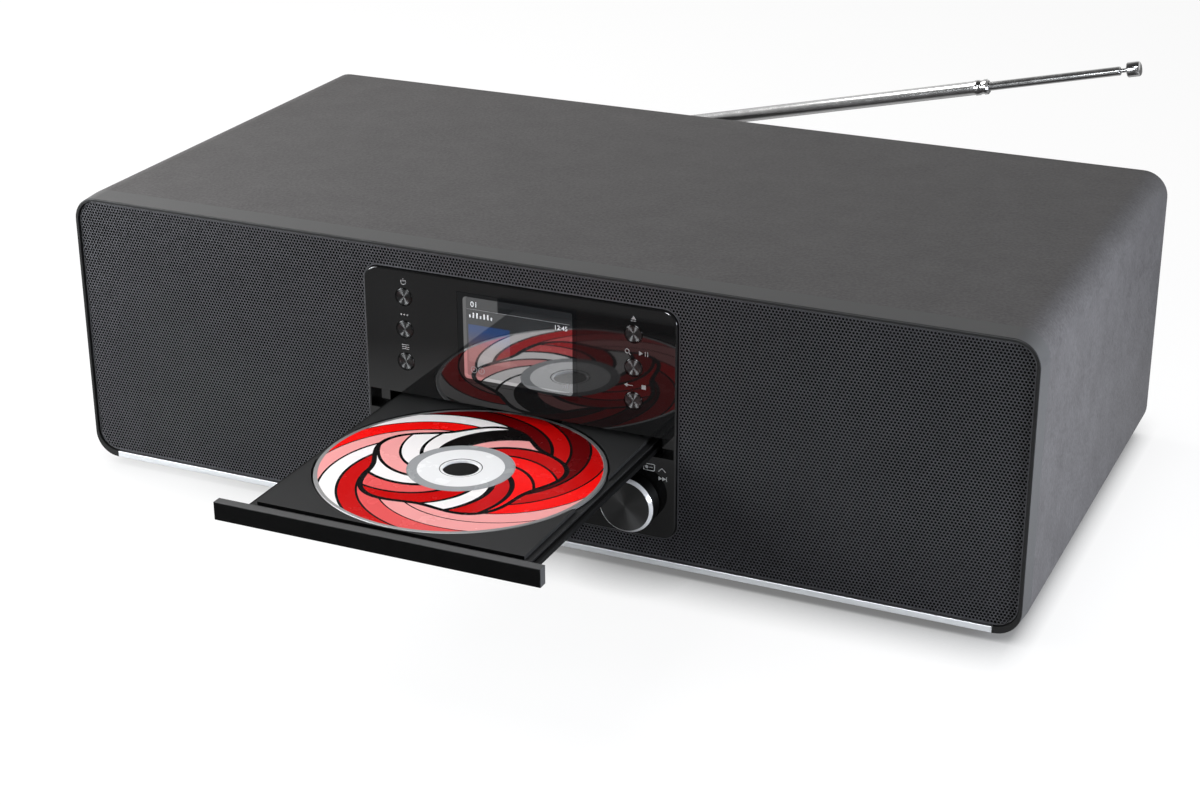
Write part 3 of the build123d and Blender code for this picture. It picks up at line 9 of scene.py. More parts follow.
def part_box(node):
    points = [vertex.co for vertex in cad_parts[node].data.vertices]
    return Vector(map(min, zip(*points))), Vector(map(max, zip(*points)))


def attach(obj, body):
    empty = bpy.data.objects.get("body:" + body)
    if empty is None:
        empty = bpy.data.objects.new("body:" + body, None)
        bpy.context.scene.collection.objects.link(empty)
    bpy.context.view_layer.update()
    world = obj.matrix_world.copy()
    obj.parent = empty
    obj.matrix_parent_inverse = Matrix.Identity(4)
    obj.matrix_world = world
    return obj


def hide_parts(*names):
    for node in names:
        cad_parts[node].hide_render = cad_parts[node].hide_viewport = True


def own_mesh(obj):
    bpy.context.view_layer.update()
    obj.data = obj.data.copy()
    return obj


# All-in-one audio system with an open disc tray. Metres, X right, Y back, Z up.
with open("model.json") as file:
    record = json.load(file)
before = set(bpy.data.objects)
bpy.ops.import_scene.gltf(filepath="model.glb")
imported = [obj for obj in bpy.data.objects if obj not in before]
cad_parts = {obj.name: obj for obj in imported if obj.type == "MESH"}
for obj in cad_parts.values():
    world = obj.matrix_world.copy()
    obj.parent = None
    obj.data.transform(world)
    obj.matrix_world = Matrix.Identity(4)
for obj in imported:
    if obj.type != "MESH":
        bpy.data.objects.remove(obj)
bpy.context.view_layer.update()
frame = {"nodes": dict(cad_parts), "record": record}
nodes = frame["nodes"]
behaviour = frame["record"]["behaviour"]
scene = bpy.context.scene
MM = 0.001

# Camera of the photograph
lens_length = 69.03
sensor_width = 36.0
camera_place = Vector((0.404214, -0.922045, 0.450488))
camera_azimuth = radians(24.393)
camera_elevation = radians(23.152)
camera_roll = radians(-0.189)

# Grille pattern
hole_pitch = 1.5 * MM
hole_half_width = 0.55 * MM
web_thickness = 0.25 * MM
rim_width = 0.4 * MM
rim_proud = 0.03 * MM
rim_thickness = 0.9 * MM
grille_corner = 9.4 * MM
opening_gap = 0.4 * MM
panel_corner = 6.5 * MM
cloth_margin = 0.5 * MM
cloth_gap = 0.05 * MM
cloth_thickness = 0.2 * MM

# Panel printing and display
print_height = 0.04 * MM
layer_height = 0.02 * MM
figure_height, picture_height = 0.01 * MM, 0.005 * MM
window_corner, window_edge = 0.4 * MM, 0.08 * MM
screen_left, screen_right = -25.2 * MM, 25.9 * MM
screen_low, screen_high = 72.4 * MM, 109.7 * MM
screen_corner = 1.6 * MM
screen_border = 1.5 * MM

# Buttons and knob. A button's flange is measured from the end of its stem.
button_names = ("power", "mode", "menu", "eject", "play", "stop")
button_face_radius = 3.3 * MM
button_flange_wide = 0.9 * MM
button_flange_front, button_flange_rear = 1.35 * MM, 0.55 * MM
button_stem_radius = 1.5 * MM
knob_chamfer_wide = 1.3 * MM
knob_chamfer_deep = 1.5 * MM
knob_depth = 8.2 * MM
knob_shaft_radius = 3.0 * MM

# Disc
disc_hole_radius = 7.5 * MM
disc_hub_radius = 8.75 * MM
disc_label_inner = 18.0 * MM
disc_ring_outer = 22.3 * MM
disc_art_outer = 58.3 * MM
disc_band_radius = 40.0 * MM
disc_band_waves, disc_band_swing = 5, 3.5 * MM
blade_count = 13

# Front frame
frame_wall = 1.5 * MM
frame_corner = 12.0 * MM

# Tray: its flanges, the step down from the middle of its plate to its edges, and how its edges are rounded
tray_flange_wide, tray_flange_low = 2.0 * MM, 2.0 * MM
tray_step_front = 7.8 * MM
tray_step_side = 2.8 * MM
tray_step_deep = 1.5 * MM
tray_round, bar_round = 0.25 * MM, 0.2 * MM

# Antenna: radii, and where each part starts and ends along its line from the pivot
antenna_base_radius, antenna_base_bore = 3.3 * MM, 2.6 * MM
antenna_middle_radius, antenna_middle_bore = 2.1 * MM, 1.55 * MM
antenna_rod_radius, antenna_cap_radius = 1.0 * MM, 3.5 * MM
antenna_base_start, antenna_base_end = 6.7 * MM, 214.0 * MM
antenna_middle_start, antenna_middle_end = 82.0 * MM, 277.0 * MM
antenna_rod_start, antenna_rod_end = 108.2 * MM, 280.2 * MM
antenna_cap_length = 6.2 * MM
antenna_gap = 0.05 * MM
antenna_slope = 0.4 * MM

# Feet and jacks
foot_radius = 9.0 * MM
jack_from_side, jack_height = 6.0 * MM, 32.0 * MM

# How the floor fades in reflections, how far its contact shadows reach, and how they fade sideways: from
# one place to another on the floor's squeezed X, and how bright the darkest shadow is at each
floor_squeeze = (0.7, 1, 0)
floor_near, near_share = 0.25, 0.8
floor_far, far_share = 0.33, 0.25
contact_reach = 0.03
mirrored_reach = 0.16
left_fade = (-0.12, 0.08, 0.8, 0.0)
right_fade = (0.15, 0.16, 0.0, 0.92)


# Shader nodes

def put(tree, node, key, value):
    """Links a socket into a node's input, or sets the input's value."""
    if isinstance(value, bpy.types.NodeSocket):
        tree.links.new(value, node.inputs[key])
    else:
        node.inputs[key].default_value = value


def add(tree, kind, inputs=None, **settings):
    """A new shader node with its settings and inputs."""
    node = tree.nodes.new("ShaderNode" + kind)
    for key, value in settings.items():
        setattr(node, key, value)
    for key, value in (inputs or {}).items():
        put(tree, node, key, value)
    return node


def calc(tree, operation, *values):
    """The result of a Math node."""
    return add(tree, "Math", dict(enumerate(values)), operation=operation).outputs[0]


def vectors(tree, operation, *values):
    """The result of a Vector Math node: a length, or else a vector."""
    node = add(tree, "VectorMath", dict(enumerate(values)), operation=operation)
    return node.outputs["Value" if operation == "LENGTH" else "Vector"]


def along(tree, vector, axis):
    """One coordinate of a vector."""
    return add(tree, "SeparateXYZ", {0: vector}).outputs[axis]


def facing(tree, axis):
    """How much the surface looks along an axis, from -1 to 1."""
    return along(tree, add(tree, "NewGeometry").outputs["Normal"], axis)


def spread(tree, value, low, high, start=0.0, end=1.0):
    """Maps value from low..high to start..end, and stays within them."""
    return add(tree, "MapRange", {0: value, 1: low, 2: high, 3: start, 4: end}).outputs[0]


def within(tree, value, low, high, soft=0.03 * MM):
    """1 where value lies between low and high, with soft edges, and 0 elsewhere."""
    rise = spread(tree, value, low - soft, low + soft)
    fall = spread(tree, value, high - soft, high + soft, 1.0, 0.0)
    return calc(tree, "MULTIPLY", rise, fall)


def mix(tree, mask, low, high):
    """Colour low where mask is 0 and high where it is 1."""
    return add(tree, "Mix", {0: mask, 6: low, 7: high}, data_type="RGBA").outputs[2]


def grey(value, blue=0.0):
    """A grey, a little bluish above 0 and warm below it."""
    return (value * (1 - blue), value, value * (1 + blue), 1.0)


def noise(tree, place, scale, detail):
    """Soft noise from 0 to 1."""
    return add(tree, "TexNoise", {"Vector": place, "Scale": scale, "Detail": detail}).outputs[0]


def start_group(name, inputs, outputs):
    """A node group with named sockets, its input sockets and its output node."""
    group = bpy.data.node_groups.new(name, "ShaderNodeTree")
    for way, sockets in (("INPUT", inputs), ("OUTPUT", outputs)):
        for label, kind in sockets.items():
            group.interface.new_socket(label, in_out=way, socket_type="NodeSocket" + kind)
    entry = group.nodes.new("NodeGroupInput")
    leave = group.nodes.new("NodeGroupOutput")
    return group, entry.outputs, leave


def mottle_group():
    """Uneven tone between two colours, from coarse and fine noise."""
    sockets = {"Vector": "Vector", "Scale": "Float", "Low": "Color", "High": "Color"}
    group, given, leave = start_group("Mottle", sockets, {"Color": "Color", "Mask": "Float"})
    place, scale = given["Vector"], given["Scale"]
    fine = noise(group, place, scale, 4.0)
    broad = noise(group, place, calc(group, "MULTIPLY", scale, 0.08), 2.0)
    both = calc(group, "ADD", fine, calc(group, "MULTIPLY", broad, 0.4))
    mask = spread(group, both, 0.45, 0.95)
    put(group, leave, "Mask", mask)
    put(group, leave, "Color", mix(group, mask, given["Low"], given["High"]))
    return group


def pebble_group():
    """Height of a pressed or moulded grain: rounded cells broken up by noise."""
    sockets = {"Vector": "Vector", "Scale": "Float", "Noise": "Float"}
    group, given, leave = start_group("Pebble grain", sockets, {"Height": "Float"})
    place, scale = given["Vector"], given["Scale"]
    cells = add(group, "TexVoronoi", {"Vector": place, "Scale": scale}, feature="SMOOTH_F1")
    rough = noise(group, place, calc(group, "MULTIPLY", scale, 0.5), 3.0)
    broken = calc(group, "MULTIPLY", rough, given["Noise"])
    put(group, leave, "Height", calc(group, "ADD", cells.outputs["Distance"], broken))
    return group


def rings_group():
    """Radius about a centre on an axis along Y, and the height of turned grooves round it."""
    sockets = {"Vector": "Vector", "Centre": "Vector", "Scale": "Float"}
    group, given, leave = start_group("Turned rings", sockets, {"Radius": "Float", "Height": "Float"})
    offset = vectors(group, "SUBTRACT", given["Vector"], given["Centre"])
    radius = vectors(group, "LENGTH", vectors(group, "MULTIPLY", offset, (1, 0, 1)))
    groove = add(group, "TexNoise", {"W": radius, "Scale": given["Scale"], "Detail": 3.0},
                 noise_dimensions="1D")
    put(group, leave, "Radius", radius)
    put(group, leave, "Height", groove.outputs[0])
    return group


mottle = mottle_group()
pebble = pebble_group()
rings = rings_group()


# Materials. A recipe gives the sockets of a shader that vary over the surface.

def surface(recipe, *given, name="", **plain):
    """A material from a recipe and what it needs. Plain values go straight on the shader."""
    material = bpy.data.materials.new(name or recipe.__name__)
    material.use_nodes = True
    tree = material.node_tree
    shader = next(node for node in tree.nodes if node.type == "BSDF_PRINCIPLED")
    for key, value in plain.items():
        shader.inputs[key.replace("_", " ")].default_value = value
    place = add(tree, "TexCoord").outputs["Object"]
    for key, value in recipe(tree, place, *given).items():
        put(tree, shader, key, value)
    return material


def toned(tree, place, scale, low, high, rough):
    """An uneven tone between two colours, and a roughness that goes with it."""
    tone = add(tree, "Group", {"Vector": place, "Scale": scale, "Low": low, "High": high}, node_tree=mottle)
    return tone.outputs["Color"], spread(tree, tone.outputs["Mask"], 0.0, 1.0, *rough)


def bumped(tree, height, depth, strength=0.5):
    """The normal of a relief."""
    return add(tree, "Bump", {"Height": height, "Distance": depth, "Strength": strength}).outputs[0]


def pebbled(tree, place, scale, broken, depth, strength=0.5):
    """The normal of a fine moulded grain, more or less broken up."""
    grain = add(tree, "Group", {"Vector": place, "Scale": scale, "Noise": broken}, node_tree=pebble)
    return bumped(tree, grain.outputs[0], depth, strength)


def uneven(tree, place, low, high, rough, scale, grain_scale, grain_depth, stretch):
    """The recipe of the plain finishes, whose patterns may be stretched."""
    mapped = add(tree, "Mapping", {"Vector": place, "Scale": stretch}).outputs[0]
    colour, roughness = toned(tree, mapped, scale, low, high, rough)
    normal = pebbled(tree, mapped, grain_scale, 0.8, grain_depth, 0.6)
    return {"Base Color": colour, "Roughness": roughness, "Normal": normal}


def grained(name, low, high, rough, scale, grain_scale, grain_mm, stretch=(1, 1, 1), **plain):
    """A material with an uneven tone, an uneven shine and a fine grain."""
    return surface(uneven, low, high, rough, scale, grain_scale, grain_mm * MM, stretch, name=name, **plain)


def foil_wrap():
    """Leathery vinyl foil over the board."""
    return grained("foil_wrap", (0.058, 0.055, 0.0555, 1), (0.109, 0.105, 0.1055, 1), (0.52, 0.64), 750, 800,
                   0.12, Specular_IOR_Level=0.12)


def grille_paint():
    return grained("grille_paint", (0.075, 0.075, 0.081, 1), (0.098, 0.098, 0.105, 1), (0.34, 0.42), 600,
                   4000, 0.01, Specular_IOR_Level=0.25)


def piano_black():
    return grained("piano_black", grey(0.006), grey(0.009), (0.02, 0.05), 40, 300, 0.0, IOR=1.5)


def window_black():
    return grained("window_black", grey(0.004, 0.1), grey(0.006, 0.1), (0.015, 0.03), 30, 300, 0.0, IOR=1.5)


def black_mould():
    return grained("black_mould", grey(0.016), grey(0.03), (0.42, 0.6), 800, 1600, 0.03)


def smooth_mould():
    return grained("smooth_mould", grey(0.014), grey(0.022), (0.3, 0.42), 500, 2200, 0.008)


def black_board():
    return grained("black_board", grey(0.003), grey(0.007), (0.8, 0.95), 1200, 900, 0.08,
                   Specular_IOR_Level=0.05)


def acetal():
    return grained("acetal", grey(0.68, -0.03), grey(0.78, -0.03), (0.34, 0.46), 400, 1500, 0.01)


def grey_mould():
    return grained("grey_mould", grey(0.36), grey(0.45), (0.4, 0.55), 600, 1400, 0.02)


def zinc_steel():
    return grained("zinc_steel", grey(0.42, 0.02), grey(0.62, 0.02), (0.25, 0.42), 500, 1800, 0.006,
                   Metallic=1.0)


def black_zinc():
    return grained("black_zinc", grey(0.03), grey(0.06), (0.3, 0.45), 900, 2000, 0.006, Metallic=0.9)


def basket_paint():
    return grained("basket_paint", grey(0.005), grey(0.009), (0.6, 0.8), 700, 1400, 0.02,
                   Specular_IOR_Level=0.1)


def ferrite():
    return grained("ferrite", grey(0.03), grey(0.06), (0.5, 0.7), 700, 1400, 0.03, Metallic=0.3)


def extruded_alloy():
    return grained("extruded_alloy", grey(0.6), grey(0.72), (0.3, 0.42), 700, 2000, 0.006, (1, 0.05, 1),
                   Metallic=1.0)


def paper_cone():
    return grained("paper_cone", grey(0.004), grey(0.012), (0.8, 0.95), 1300, 700, 0.12, (1, 0.3, 1),
                   Specular_IOR_Level=0.1)


def moulded_rubber():
    return grained("moulded_rubber", grey(0.006), grey(0.012), (0.6, 0.75), 900, 1500, 0.02,
                   Specular_IOR_Level=0.2)


def print_grey():
    return grained("print_grey", grey(0.28), grey(0.34), (0.4, 0.5), 2000, 3000, 0.001)


# Painted light: a brighter print for the signs beside the knob, where the tray shades them.
def print_white_painted_light():
    return grained("print_white_painted_light", grey(0.7), grey(0.8), (0.4, 0.5), 2000, 3000, 0.001)


def ring_plastic(tree, place, low, high):
    """Satin outside of the front frame, with a darker front edge and a matt black inside."""
    beside = vectors(tree, "ABSOLUTE", vectors(tree, "SUBTRACT", place, (low + high) / 2))
    half = (high - low) / 2
    corner = (half.x - frame_corner, 1, half.z - frame_corner)
    past = vectors(tree, "MAXIMUM", vectors(tree, "SUBTRACT", beside, corner), (0, 0, 0))
    wall = frame_corner - frame_wall
    inner = spread(tree, vectors(tree, "LENGTH", past), wall, wall + 0.1 * MM, 1.0, 0.0)
    front = spread(tree, along(tree, place, "Y"), low.y + 0.3 * MM, low.y + 0.6 * MM, 1.0, 0.0)
    colour, rough = toned(tree, place, 900.0, grey(0.06), grey(0.074), (0.4, 0.5))
    edged = mix(tree, front, colour, grey(0.011))
    return {
        "Base Color": mix(tree, inner, edged, grey(0.012)),
        "Roughness": rough,
        "Normal": pebbled(tree, place, 2200.0, 0.6, 0.02 * MM),
    }


def grille_cloth(tree, place):
    """Fine black weave of the cloth behind the grille."""
    threads = [add(tree, "TexWave", {"Vector": place, "Scale": 700.0}, bands_direction=way).outputs[1]
               for way in ("X", "Z")]
    weave = calc(tree, "MAXIMUM", *threads)
    return {
        "Base Color": mix(tree, weave, grey(0.001), grey(0.003)),
        "Roughness": spread(tree, weave, 0.0, 1.0, 0.95, 0.85),
        "Normal": bumped(tree, weave, 0.03 * MM),
    }


def trim_metal_painted_shade(tree, place):
    """Satin bright strip, drawn lengthwise, with painted shade on the faces that look up, against the bright
    line they reflect.
    """
    drawn = add(tree, "Mapping", {"Vector": place, "Scale": (0.02, 1, 1)}).outputs[0]
    colour, rough = toned(tree, drawn, 900.0, grey(0.7, 0.02), grey(0.8, 0.02), (0.42, 0.5))
    # Painted shade: faces that look up are painted dark against the bright line they reflect.
    painted_top_shade = spread(tree, facing(tree, "Z"), 0.3, 0.7)
    return {"Base Color": mix(tree, painted_top_shade, colour, grey(0.12)), "Roughness": rough}


def tray_satin_painted_light(tree, place, bar_y, flange_z):
    """Satin black with painted light and shade: the bar in front of bar_y is painted paler for the light on
    its top, and faces that look along -Y are painted darkest as shade.

    The plate is painted darker below flange_z, on its flanges and underside, as shade.
    """
    soft = 0.1 * MM
    front = spread(tree, along(tree, place, "Y"), bar_y - soft, bar_y + soft, 1.0, 0.0)
    below = spread(tree, along(tree, place, "Z"), flange_z - soft, flange_z + soft, 1.0, 0.0)
    flange = calc(tree, "MULTIPLY", below, calc(tree, "SUBTRACT", 1.0, front))
    # Painted shade: faces that look along -Y are painted near black.
    painted_front_shade = spread(tree, facing(tree, "Y"), -0.8, -0.4, 1.0, 0.0)
    colour, rough = toned(tree, place, 700.0, grey(0.027), grey(0.034), (0.32, 0.42))
    # Painted light: the bar is painted paler, for the light that falls on its top.
    colour = mix(tree, front, colour, grey(0.085))
    # Painted shade: below flange_z, behind the bar, the flanges and underside are painted darker.
    colour = mix(tree, flange, colour, grey(0.008))
    return {
        "Base Color": mix(tree, painted_front_shade, colour, grey(0.002, 0.05)),
        "Roughness": rough,
        "Normal": pebbled(tree, place, 2600.0, 0.8, 0.004 * MM),
    }


def chrome(tree, place):
    """Bright plating with faint smudges."""
    colour, rough = toned(tree, place, 220.0, grey(0.44), grey(0.52), (0.12, 0.18))
    return {"Base Color": colour, "Roughness": rough}


def board_green(tree, place):
    """Solder mask over a net of copper tracks."""
    flat = add(tree, "Mapping", {"Vector": place, "Scale": (1, 1, 0)}).outputs[0]
    tracks = add(tree, "TexVoronoi", {"Vector": flat, "Scale": 260.0, "Randomness": 0.8},
                 feature="DISTANCE_TO_EDGE")
    line = spread(tree, tracks.outputs["Distance"], 0.06, 0.1, 1.0, 0.0)
    colour, rough = toned(tree, place, 500.0, (0.006, 0.06, 0.025, 1), (0.012, 0.09, 0.04, 1), (0.22, 0.34))
    return {
        "Base Color": mix(tree, line, colour, (0.03, 0.17, 0.06, 1)),
        "Roughness": rough,
        "Normal": bumped(tree, line, 0.03 * MM),
    }


def spun_metal(tree, place, centre, face_radius, depth, dark, bright, rough, edge_metal):
    """Turned metal about an axis along Y: a dark spun face, and an edge of its own beyond face_radius."""
    turned = add(tree, "Group", {"Vector": place, "Centre": centre, "Scale": 9000.0}, node_tree=rings)
    groove = turned.outputs["Height"]
    soft = 0.05 * MM
    front = within(tree, along(tree, place, "Y"), -1.0, centre.y + depth)
    past_face = spread(tree, turned.outputs["Radius"], face_radius - soft, face_radius + soft)
    edge = calc(tree, "MULTIPLY", past_face, front)
    side = calc(tree, "MULTIPLY", past_face, calc(tree, "SUBTRACT", 1.0, front))
    tone = spread(tree, groove, 0.3, 0.7, rough - 0.05, rough + 0.05)
    return {
        "Base Color": mix(tree, side, mix(tree, edge, dark, bright), grey(0.02)),
        "Metallic": spread(tree, edge, 0.0, 1.0, 1.0, edge_metal),
        "Roughness": spread(tree, edge, 0.0, 1.0, tone, 0.25),
        "Normal": bumped(tree, groove, 0.002 * MM, 0.3),
        "Tangent": add(tree, "Tangent", direction_type="RADIAL", axis="Y").outputs[0],
    }


def screen_glass(tree, place, low, high):
    """Semi-reflecting display glass over a faintly lit layer."""
    colour, rough = toned(tree, place, 60.0, low, high, (0.02, 0.04))
    return {"Base Color": colour, "Roughness": rough, "Emission Color": colour}


def lit_figures(tree, place, colour):
    """Bright figures of the display, with the fine rows of its cells."""
    rows = add(tree, "TexWave", {"Vector": place, "Scale": 800.0}, bands_direction="Z")
    lines = spread(tree, rows.outputs[1], 0.0, 1.0, 0.8, 1.0)
    shown = mix(tree, lines, grey(0.0), colour)
    rough = spread(tree, lines, 0.8, 1.0, 0.3, 0.35)
    return {"Base Color": shown, "Emission Color": shown, "Roughness": rough}


def screen_picture(tree, place, middle_z):
    """Picture on the display: blue above that fades to grey below, under the same bright glass."""
    lower = spread(tree, along(tree, place, "Z"), middle_z + 6.0 * MM, middle_z - 2.0 * MM)
    colour = mix(tree, lower, (0.004, 0.024, 0.09, 1), (0.05, 0.035, 0.035, 1))
    rough = spread(tree, noise(tree, place, 120.0, 3.0), 0.3, 0.7, 0.02, 0.04)
    return {"Base Color": colour, "Emission Color": colour, "Roughness": rough}


def disc_print(tree, place, centre):
    """Printed disc: clear rim, pinwheel of curved blades, grey ring, white ring and bright hub."""
    flat = vectors(tree, "MULTIPLY", vectors(tree, "SUBTRACT", place, centre), (1, 1, 0))
    radius = vectors(tree, "LENGTH", flat)
    angle = calc(tree, "ARCTAN2", along(tree, flat, "Y"), along(tree, flat, "X"))
    turn = calc(tree, "DIVIDE", angle, tau)
    ripple = calc(tree, "SINE", calc(tree, "MULTIPLY", turn, disc_band_waves * tau))
    border = calc(tree, "ADD", calc(tree, "MULTIPLY", ripple, disc_band_swing), disc_band_radius)
    art = blades(tree, turn, radius, calc(tree, "GREATER_THAN", radius, border))
    seam = calc(tree, "ABSOLUTE", calc(tree, "SUBTRACT", radius, border))
    art = mix(tree, calc(tree, "LESS_THAN", seam, 1.1 * MM), art, grey(0.003))
    hub = mix(tree, within(tree, radius, 0.0, disc_label_inner), grey(0.36), grey(0.85))
    line = within(tree, radius, disc_hub_radius - 0.2 * MM, disc_hub_radius + 0.2 * MM)
    hub = mix(tree, line, hub, grey(0.06))
    ring = mix(tree, within(tree, radius, disc_label_inner, disc_ring_outer), hub, grey(0.34, 0.02))
    colour = mix(tree, within(tree, radius, disc_ring_outer, disc_art_outer), ring, art)
    rim = within(tree, radius, disc_art_outer, 70 * MM)
    smudged = spread(tree, noise(tree, place, 90.0, 4.0), 0.3, 0.7, 0.2, 0.3)
    return {
        "Base Color": mix(tree, rim, colour, grey(0.36)),
        "Metallic": calc(tree, "MULTIPLY", rim, 0.9),
        "Roughness": spread(tree, rim, 0.0, 1.0, smudged, 0.45),
    }


def chance(tree, seed):
    """A number from 0 to 1 that its seed decides."""
    return add(tree, "TexWhiteNoise", {"W": seed}, noise_dimensions="1D").outputs["Value"]


def blades(tree, turn, radius, outer):
    """Curved blades of flat colours with black gaps, leaning one way inside and the other outside."""
    lean = spread(tree, outer, 0.0, 1.0, 7.0, -9.0)
    shifted = calc(tree, "ADD", turn, calc(tree, "MULTIPLY", radius, lean))
    count = calc(tree, "MULTIPLY", shifted, blade_count)
    whole = calc(tree, "FLOOR", count)
    blade = calc(tree, "FLOORED_MODULO", whole, blade_count)
    seed = calc(tree, "ADD", blade, calc(tree, "MULTIPLY", outer, 31.0))
    ramp = add(tree, "ValToRGB", {0: chance(tree, seed)})
    ramp.color_ramp.interpolation = "CONSTANT"
    elements = ramp.color_ramp.elements
    elements.remove(elements[1])
    elements[0].color = (0.55, 0.002, 0.002, 1)
    for position, colour in (
        (0.16, (0.12, 0.0, 0.001, 1)), (0.28, (0.78, 0.10, 0.10, 1)), (0.42, (0.88, 0.36, 0.35, 1)),
        (0.56, (0.92, 0.88, 0.87, 1)), (0.74, (0.95, 0.003, 0.002, 1)), (0.90, (0.003, 0.002, 0.002, 1)),
    ):
        elements.new(position).color = colour
    off_middle = calc(tree, "ABSOLUTE", calc(tree, "SUBTRACT", calc(tree, "SUBTRACT", count, whole), 0.5))
    from_edge = calc(tree, "SUBTRACT", 0.5, off_middle)
    width = calc(tree, "MULTIPLY", from_edge, calc(tree, "MULTIPLY", radius, tau / blade_count))
    other = chance(tree, calc(tree, "ADD", seed, 0.5))
    half_gap = spread(tree, other, 0.0, 1.0, 0.5 * MM, 1.9 * MM)
    return mix(tree, calc(tree, "LESS_THAN", width, half_gap), ramp.outputs[0], grey(0.003))


# Mesh tools

FRONT = Matrix.Rotation(radians(90), 4, "X")


def at(x, y, z):
    return Matrix.Translation((x, y, z))


def centre_of(node):
    low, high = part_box(node)
    return (low + high) / 2


def front_of(node):
    """The middle of a round node's front, its radius and its length along Y."""
    low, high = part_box(node)
    return Vector(((low.x + high.x) / 2, low.y, (low.z + high.z) / 2)), (high.x - low.x) / 2, high.y - low.y


def body_of(node):
    return next(body for body, members in behaviour["bodies"].items() if node in members)


def show(name, data):
    """A new object in the scene."""
    thing = bpy.data.objects.new(name, data)
    scene.collection.objects.link(thing)
    return thing


def make_piece(name, bm, material, node=None, sharp=35, flat_faces=False):
    """Makes bm a named piece in place, smooth but for its sharp edges.

    It stands for a node and rides on that node's body, or else on the cabinet. flat_faces keeps the large
    faces flat beside narrow rounded edges.
    """
    mesh = bpy.data.meshes.new(name)
    bm.to_mesh(mesh)
    bm.free()
    mesh.materials.append(material)
    mesh.shade_smooth()
    mesh.set_sharp_from_angle(angle=radians(sharp))
    piece = show(name, mesh)
    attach(piece, body_of(node) if node else "cabinet")
    if node:
        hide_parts(node)
    if flat_faces:
        weights = piece.modifiers.new("flat faces", "WEIGHTED_NORMAL")
        weights.keep_sharp = True
    return piece


def dress(material, *names):
    """Gives CAD nodes a material."""
    for name in names:
        for slot in nodes[name].material_slots:
            slot.material = material


def of_kind(items, kind):
    return [item for item in items if isinstance(item, kind)]


def settle(bm, place):
    """Points all faces outwards and moves the mesh to its place."""
    bmesh.ops.recalc_face_normals(bm, faces=bm.faces)
    bmesh.ops.transform(bm, matrix=place, verts=bm.verts)


def round_off(bm, geom, width, segments, affect="EDGES", clamp=False):
    bmesh.ops.bevel(bm, geom=geom, offset=width, offset_type="OFFSET", segments=segments, profile=0.5,
                    affect=affect, clamp_overlap=clamp, material=-1)


def thicken(bm, depth):
    """Extrudes the flat faces along Z into closed bodies and gives the new top faces."""
    made = bmesh.ops.extrude_face_region(bm, geom=bm.faces[:])["geom"]
    bmesh.ops.translate(bm, vec=(0, 0, depth), verts=of_kind(made, bmesh.types.BMVert))
    return of_kind(made, bmesh.types.BMFace)


def rounded_face(bm, width, height, corner):
    """A flat face about the origin with rounded corners."""
    verts = bmesh.ops.create_grid(bm, x_segments=1, y_segments=1, size=0.5)["verts"]
    bmesh.ops.scale(bm, vec=(width, height, 1), verts=verts)
    round_off(bm, verts, corner, 8, affect="VERTICES")


def plate(width, height, corner, thick, place, edge=0.0):
    """A rounded plate on Z = 0 of its place, with its top edge rounded."""
    bm = bmesh.new()
    rounded_face(bm, width, height, corner)
    top = thicken(bm, thick)
    if edge > 0:
        round_off(bm, [e for face in top for e in face.edges], edge, 2)
    settle(bm, place)
    return bm


def frame_ring(width, height, corner, rim, thick, place):
    """A rounded ring of a given width inside an outline."""
    bm = bmesh.new()
    rounded_face(bm, width, height, corner)
    bmesh.ops.inset_region(bm, faces=bm.faces[:], thickness=rim, use_even_offset=True, use_boundary=True)
    middle = min(bm.faces, key=lambda face: face.calc_center_median().length)
    bmesh.ops.delete(bm, geom=[middle], context="FACES")
    thicken(bm, thick)
    settle(bm, place)
    return bm


def lathe(bm, section, steps, place):
    """Turns a section of (radius, height) points about Z. One that doesn't end on the axis is a ring."""
    before = set(bm.verts)
    points = [bm.verts.new((radius, 0, height)) for radius, height in section]
    edges = [bm.edges.new(pair) for pair in zip(points, points[1:])]
    if section[0][0] > 0:
        edges.append(bm.edges.new((points[-1], points[0])))
    bmesh.ops.spin(bm, geom=points + edges, cent=(0, 0, 0), axis=(0, 0, 1), angle=tau, steps=steps,
                   use_merge=True)
    bmesh.ops.remove_doubles(bm, verts=[v for v in bm.verts if v not in before], dist=0.001 * MM)
    made = [v for v in bm.verts if v not in before]
    bmesh.ops.recalc_face_normals(bm, faces=list({face for v in made for face in v.link_faces}))
    bmesh.ops.transform(bm, matrix=place, verts=made)


def joined_copy(node):
    """A copy of a CAD node's mesh with its doubles merged and its coplanar triangles joined."""
    bm = bmesh.new()
    bm.from_mesh(nodes[node].data)
    bmesh.ops.remove_doubles(bm, verts=bm.verts, dist=0.002 * MM)
    bmesh.ops.dissolve_limit(bm, angle_limit=radians(0.5), verts=bm.verts, edges=bm.edges)
    return bm


def soften(bm, width):
    """Rounds the edges where faces meet at more than 30 degrees."""
    edges = [e for e in bm.edges if e.is_manifold and e.calc_face_angle() > radians(30)]
    round_off(bm, edges, width, 2, clamp=True)


# Grille

def copy_along(bm, step):
    """Doubles what bm holds, with the copy moved by step."""
    copies = bmesh.ops.duplicate(bm, geom=bm.verts[:] + bm.edges[:] + bm.faces[:])["geom"]
    bmesh.ops.translate(bm, vec=step, verts=of_kind(copies, bmesh.types.BMVert))


def repeat(bm, step, count):
    """Doubles what bm holds, each time as far along step as it reaches, until there are count."""
    made = 1
    while made < count:
        copy_along(bm, Vector(step) * made)
        made *= 2


def drop_faces(bm, unwanted):
    """Deletes the faces whose middles are unwanted."""
    waste = [face for face in bm.faces if unwanted(face.calc_center_median())]
    bmesh.ops.delete(bm, geom=waste, context="FACES")


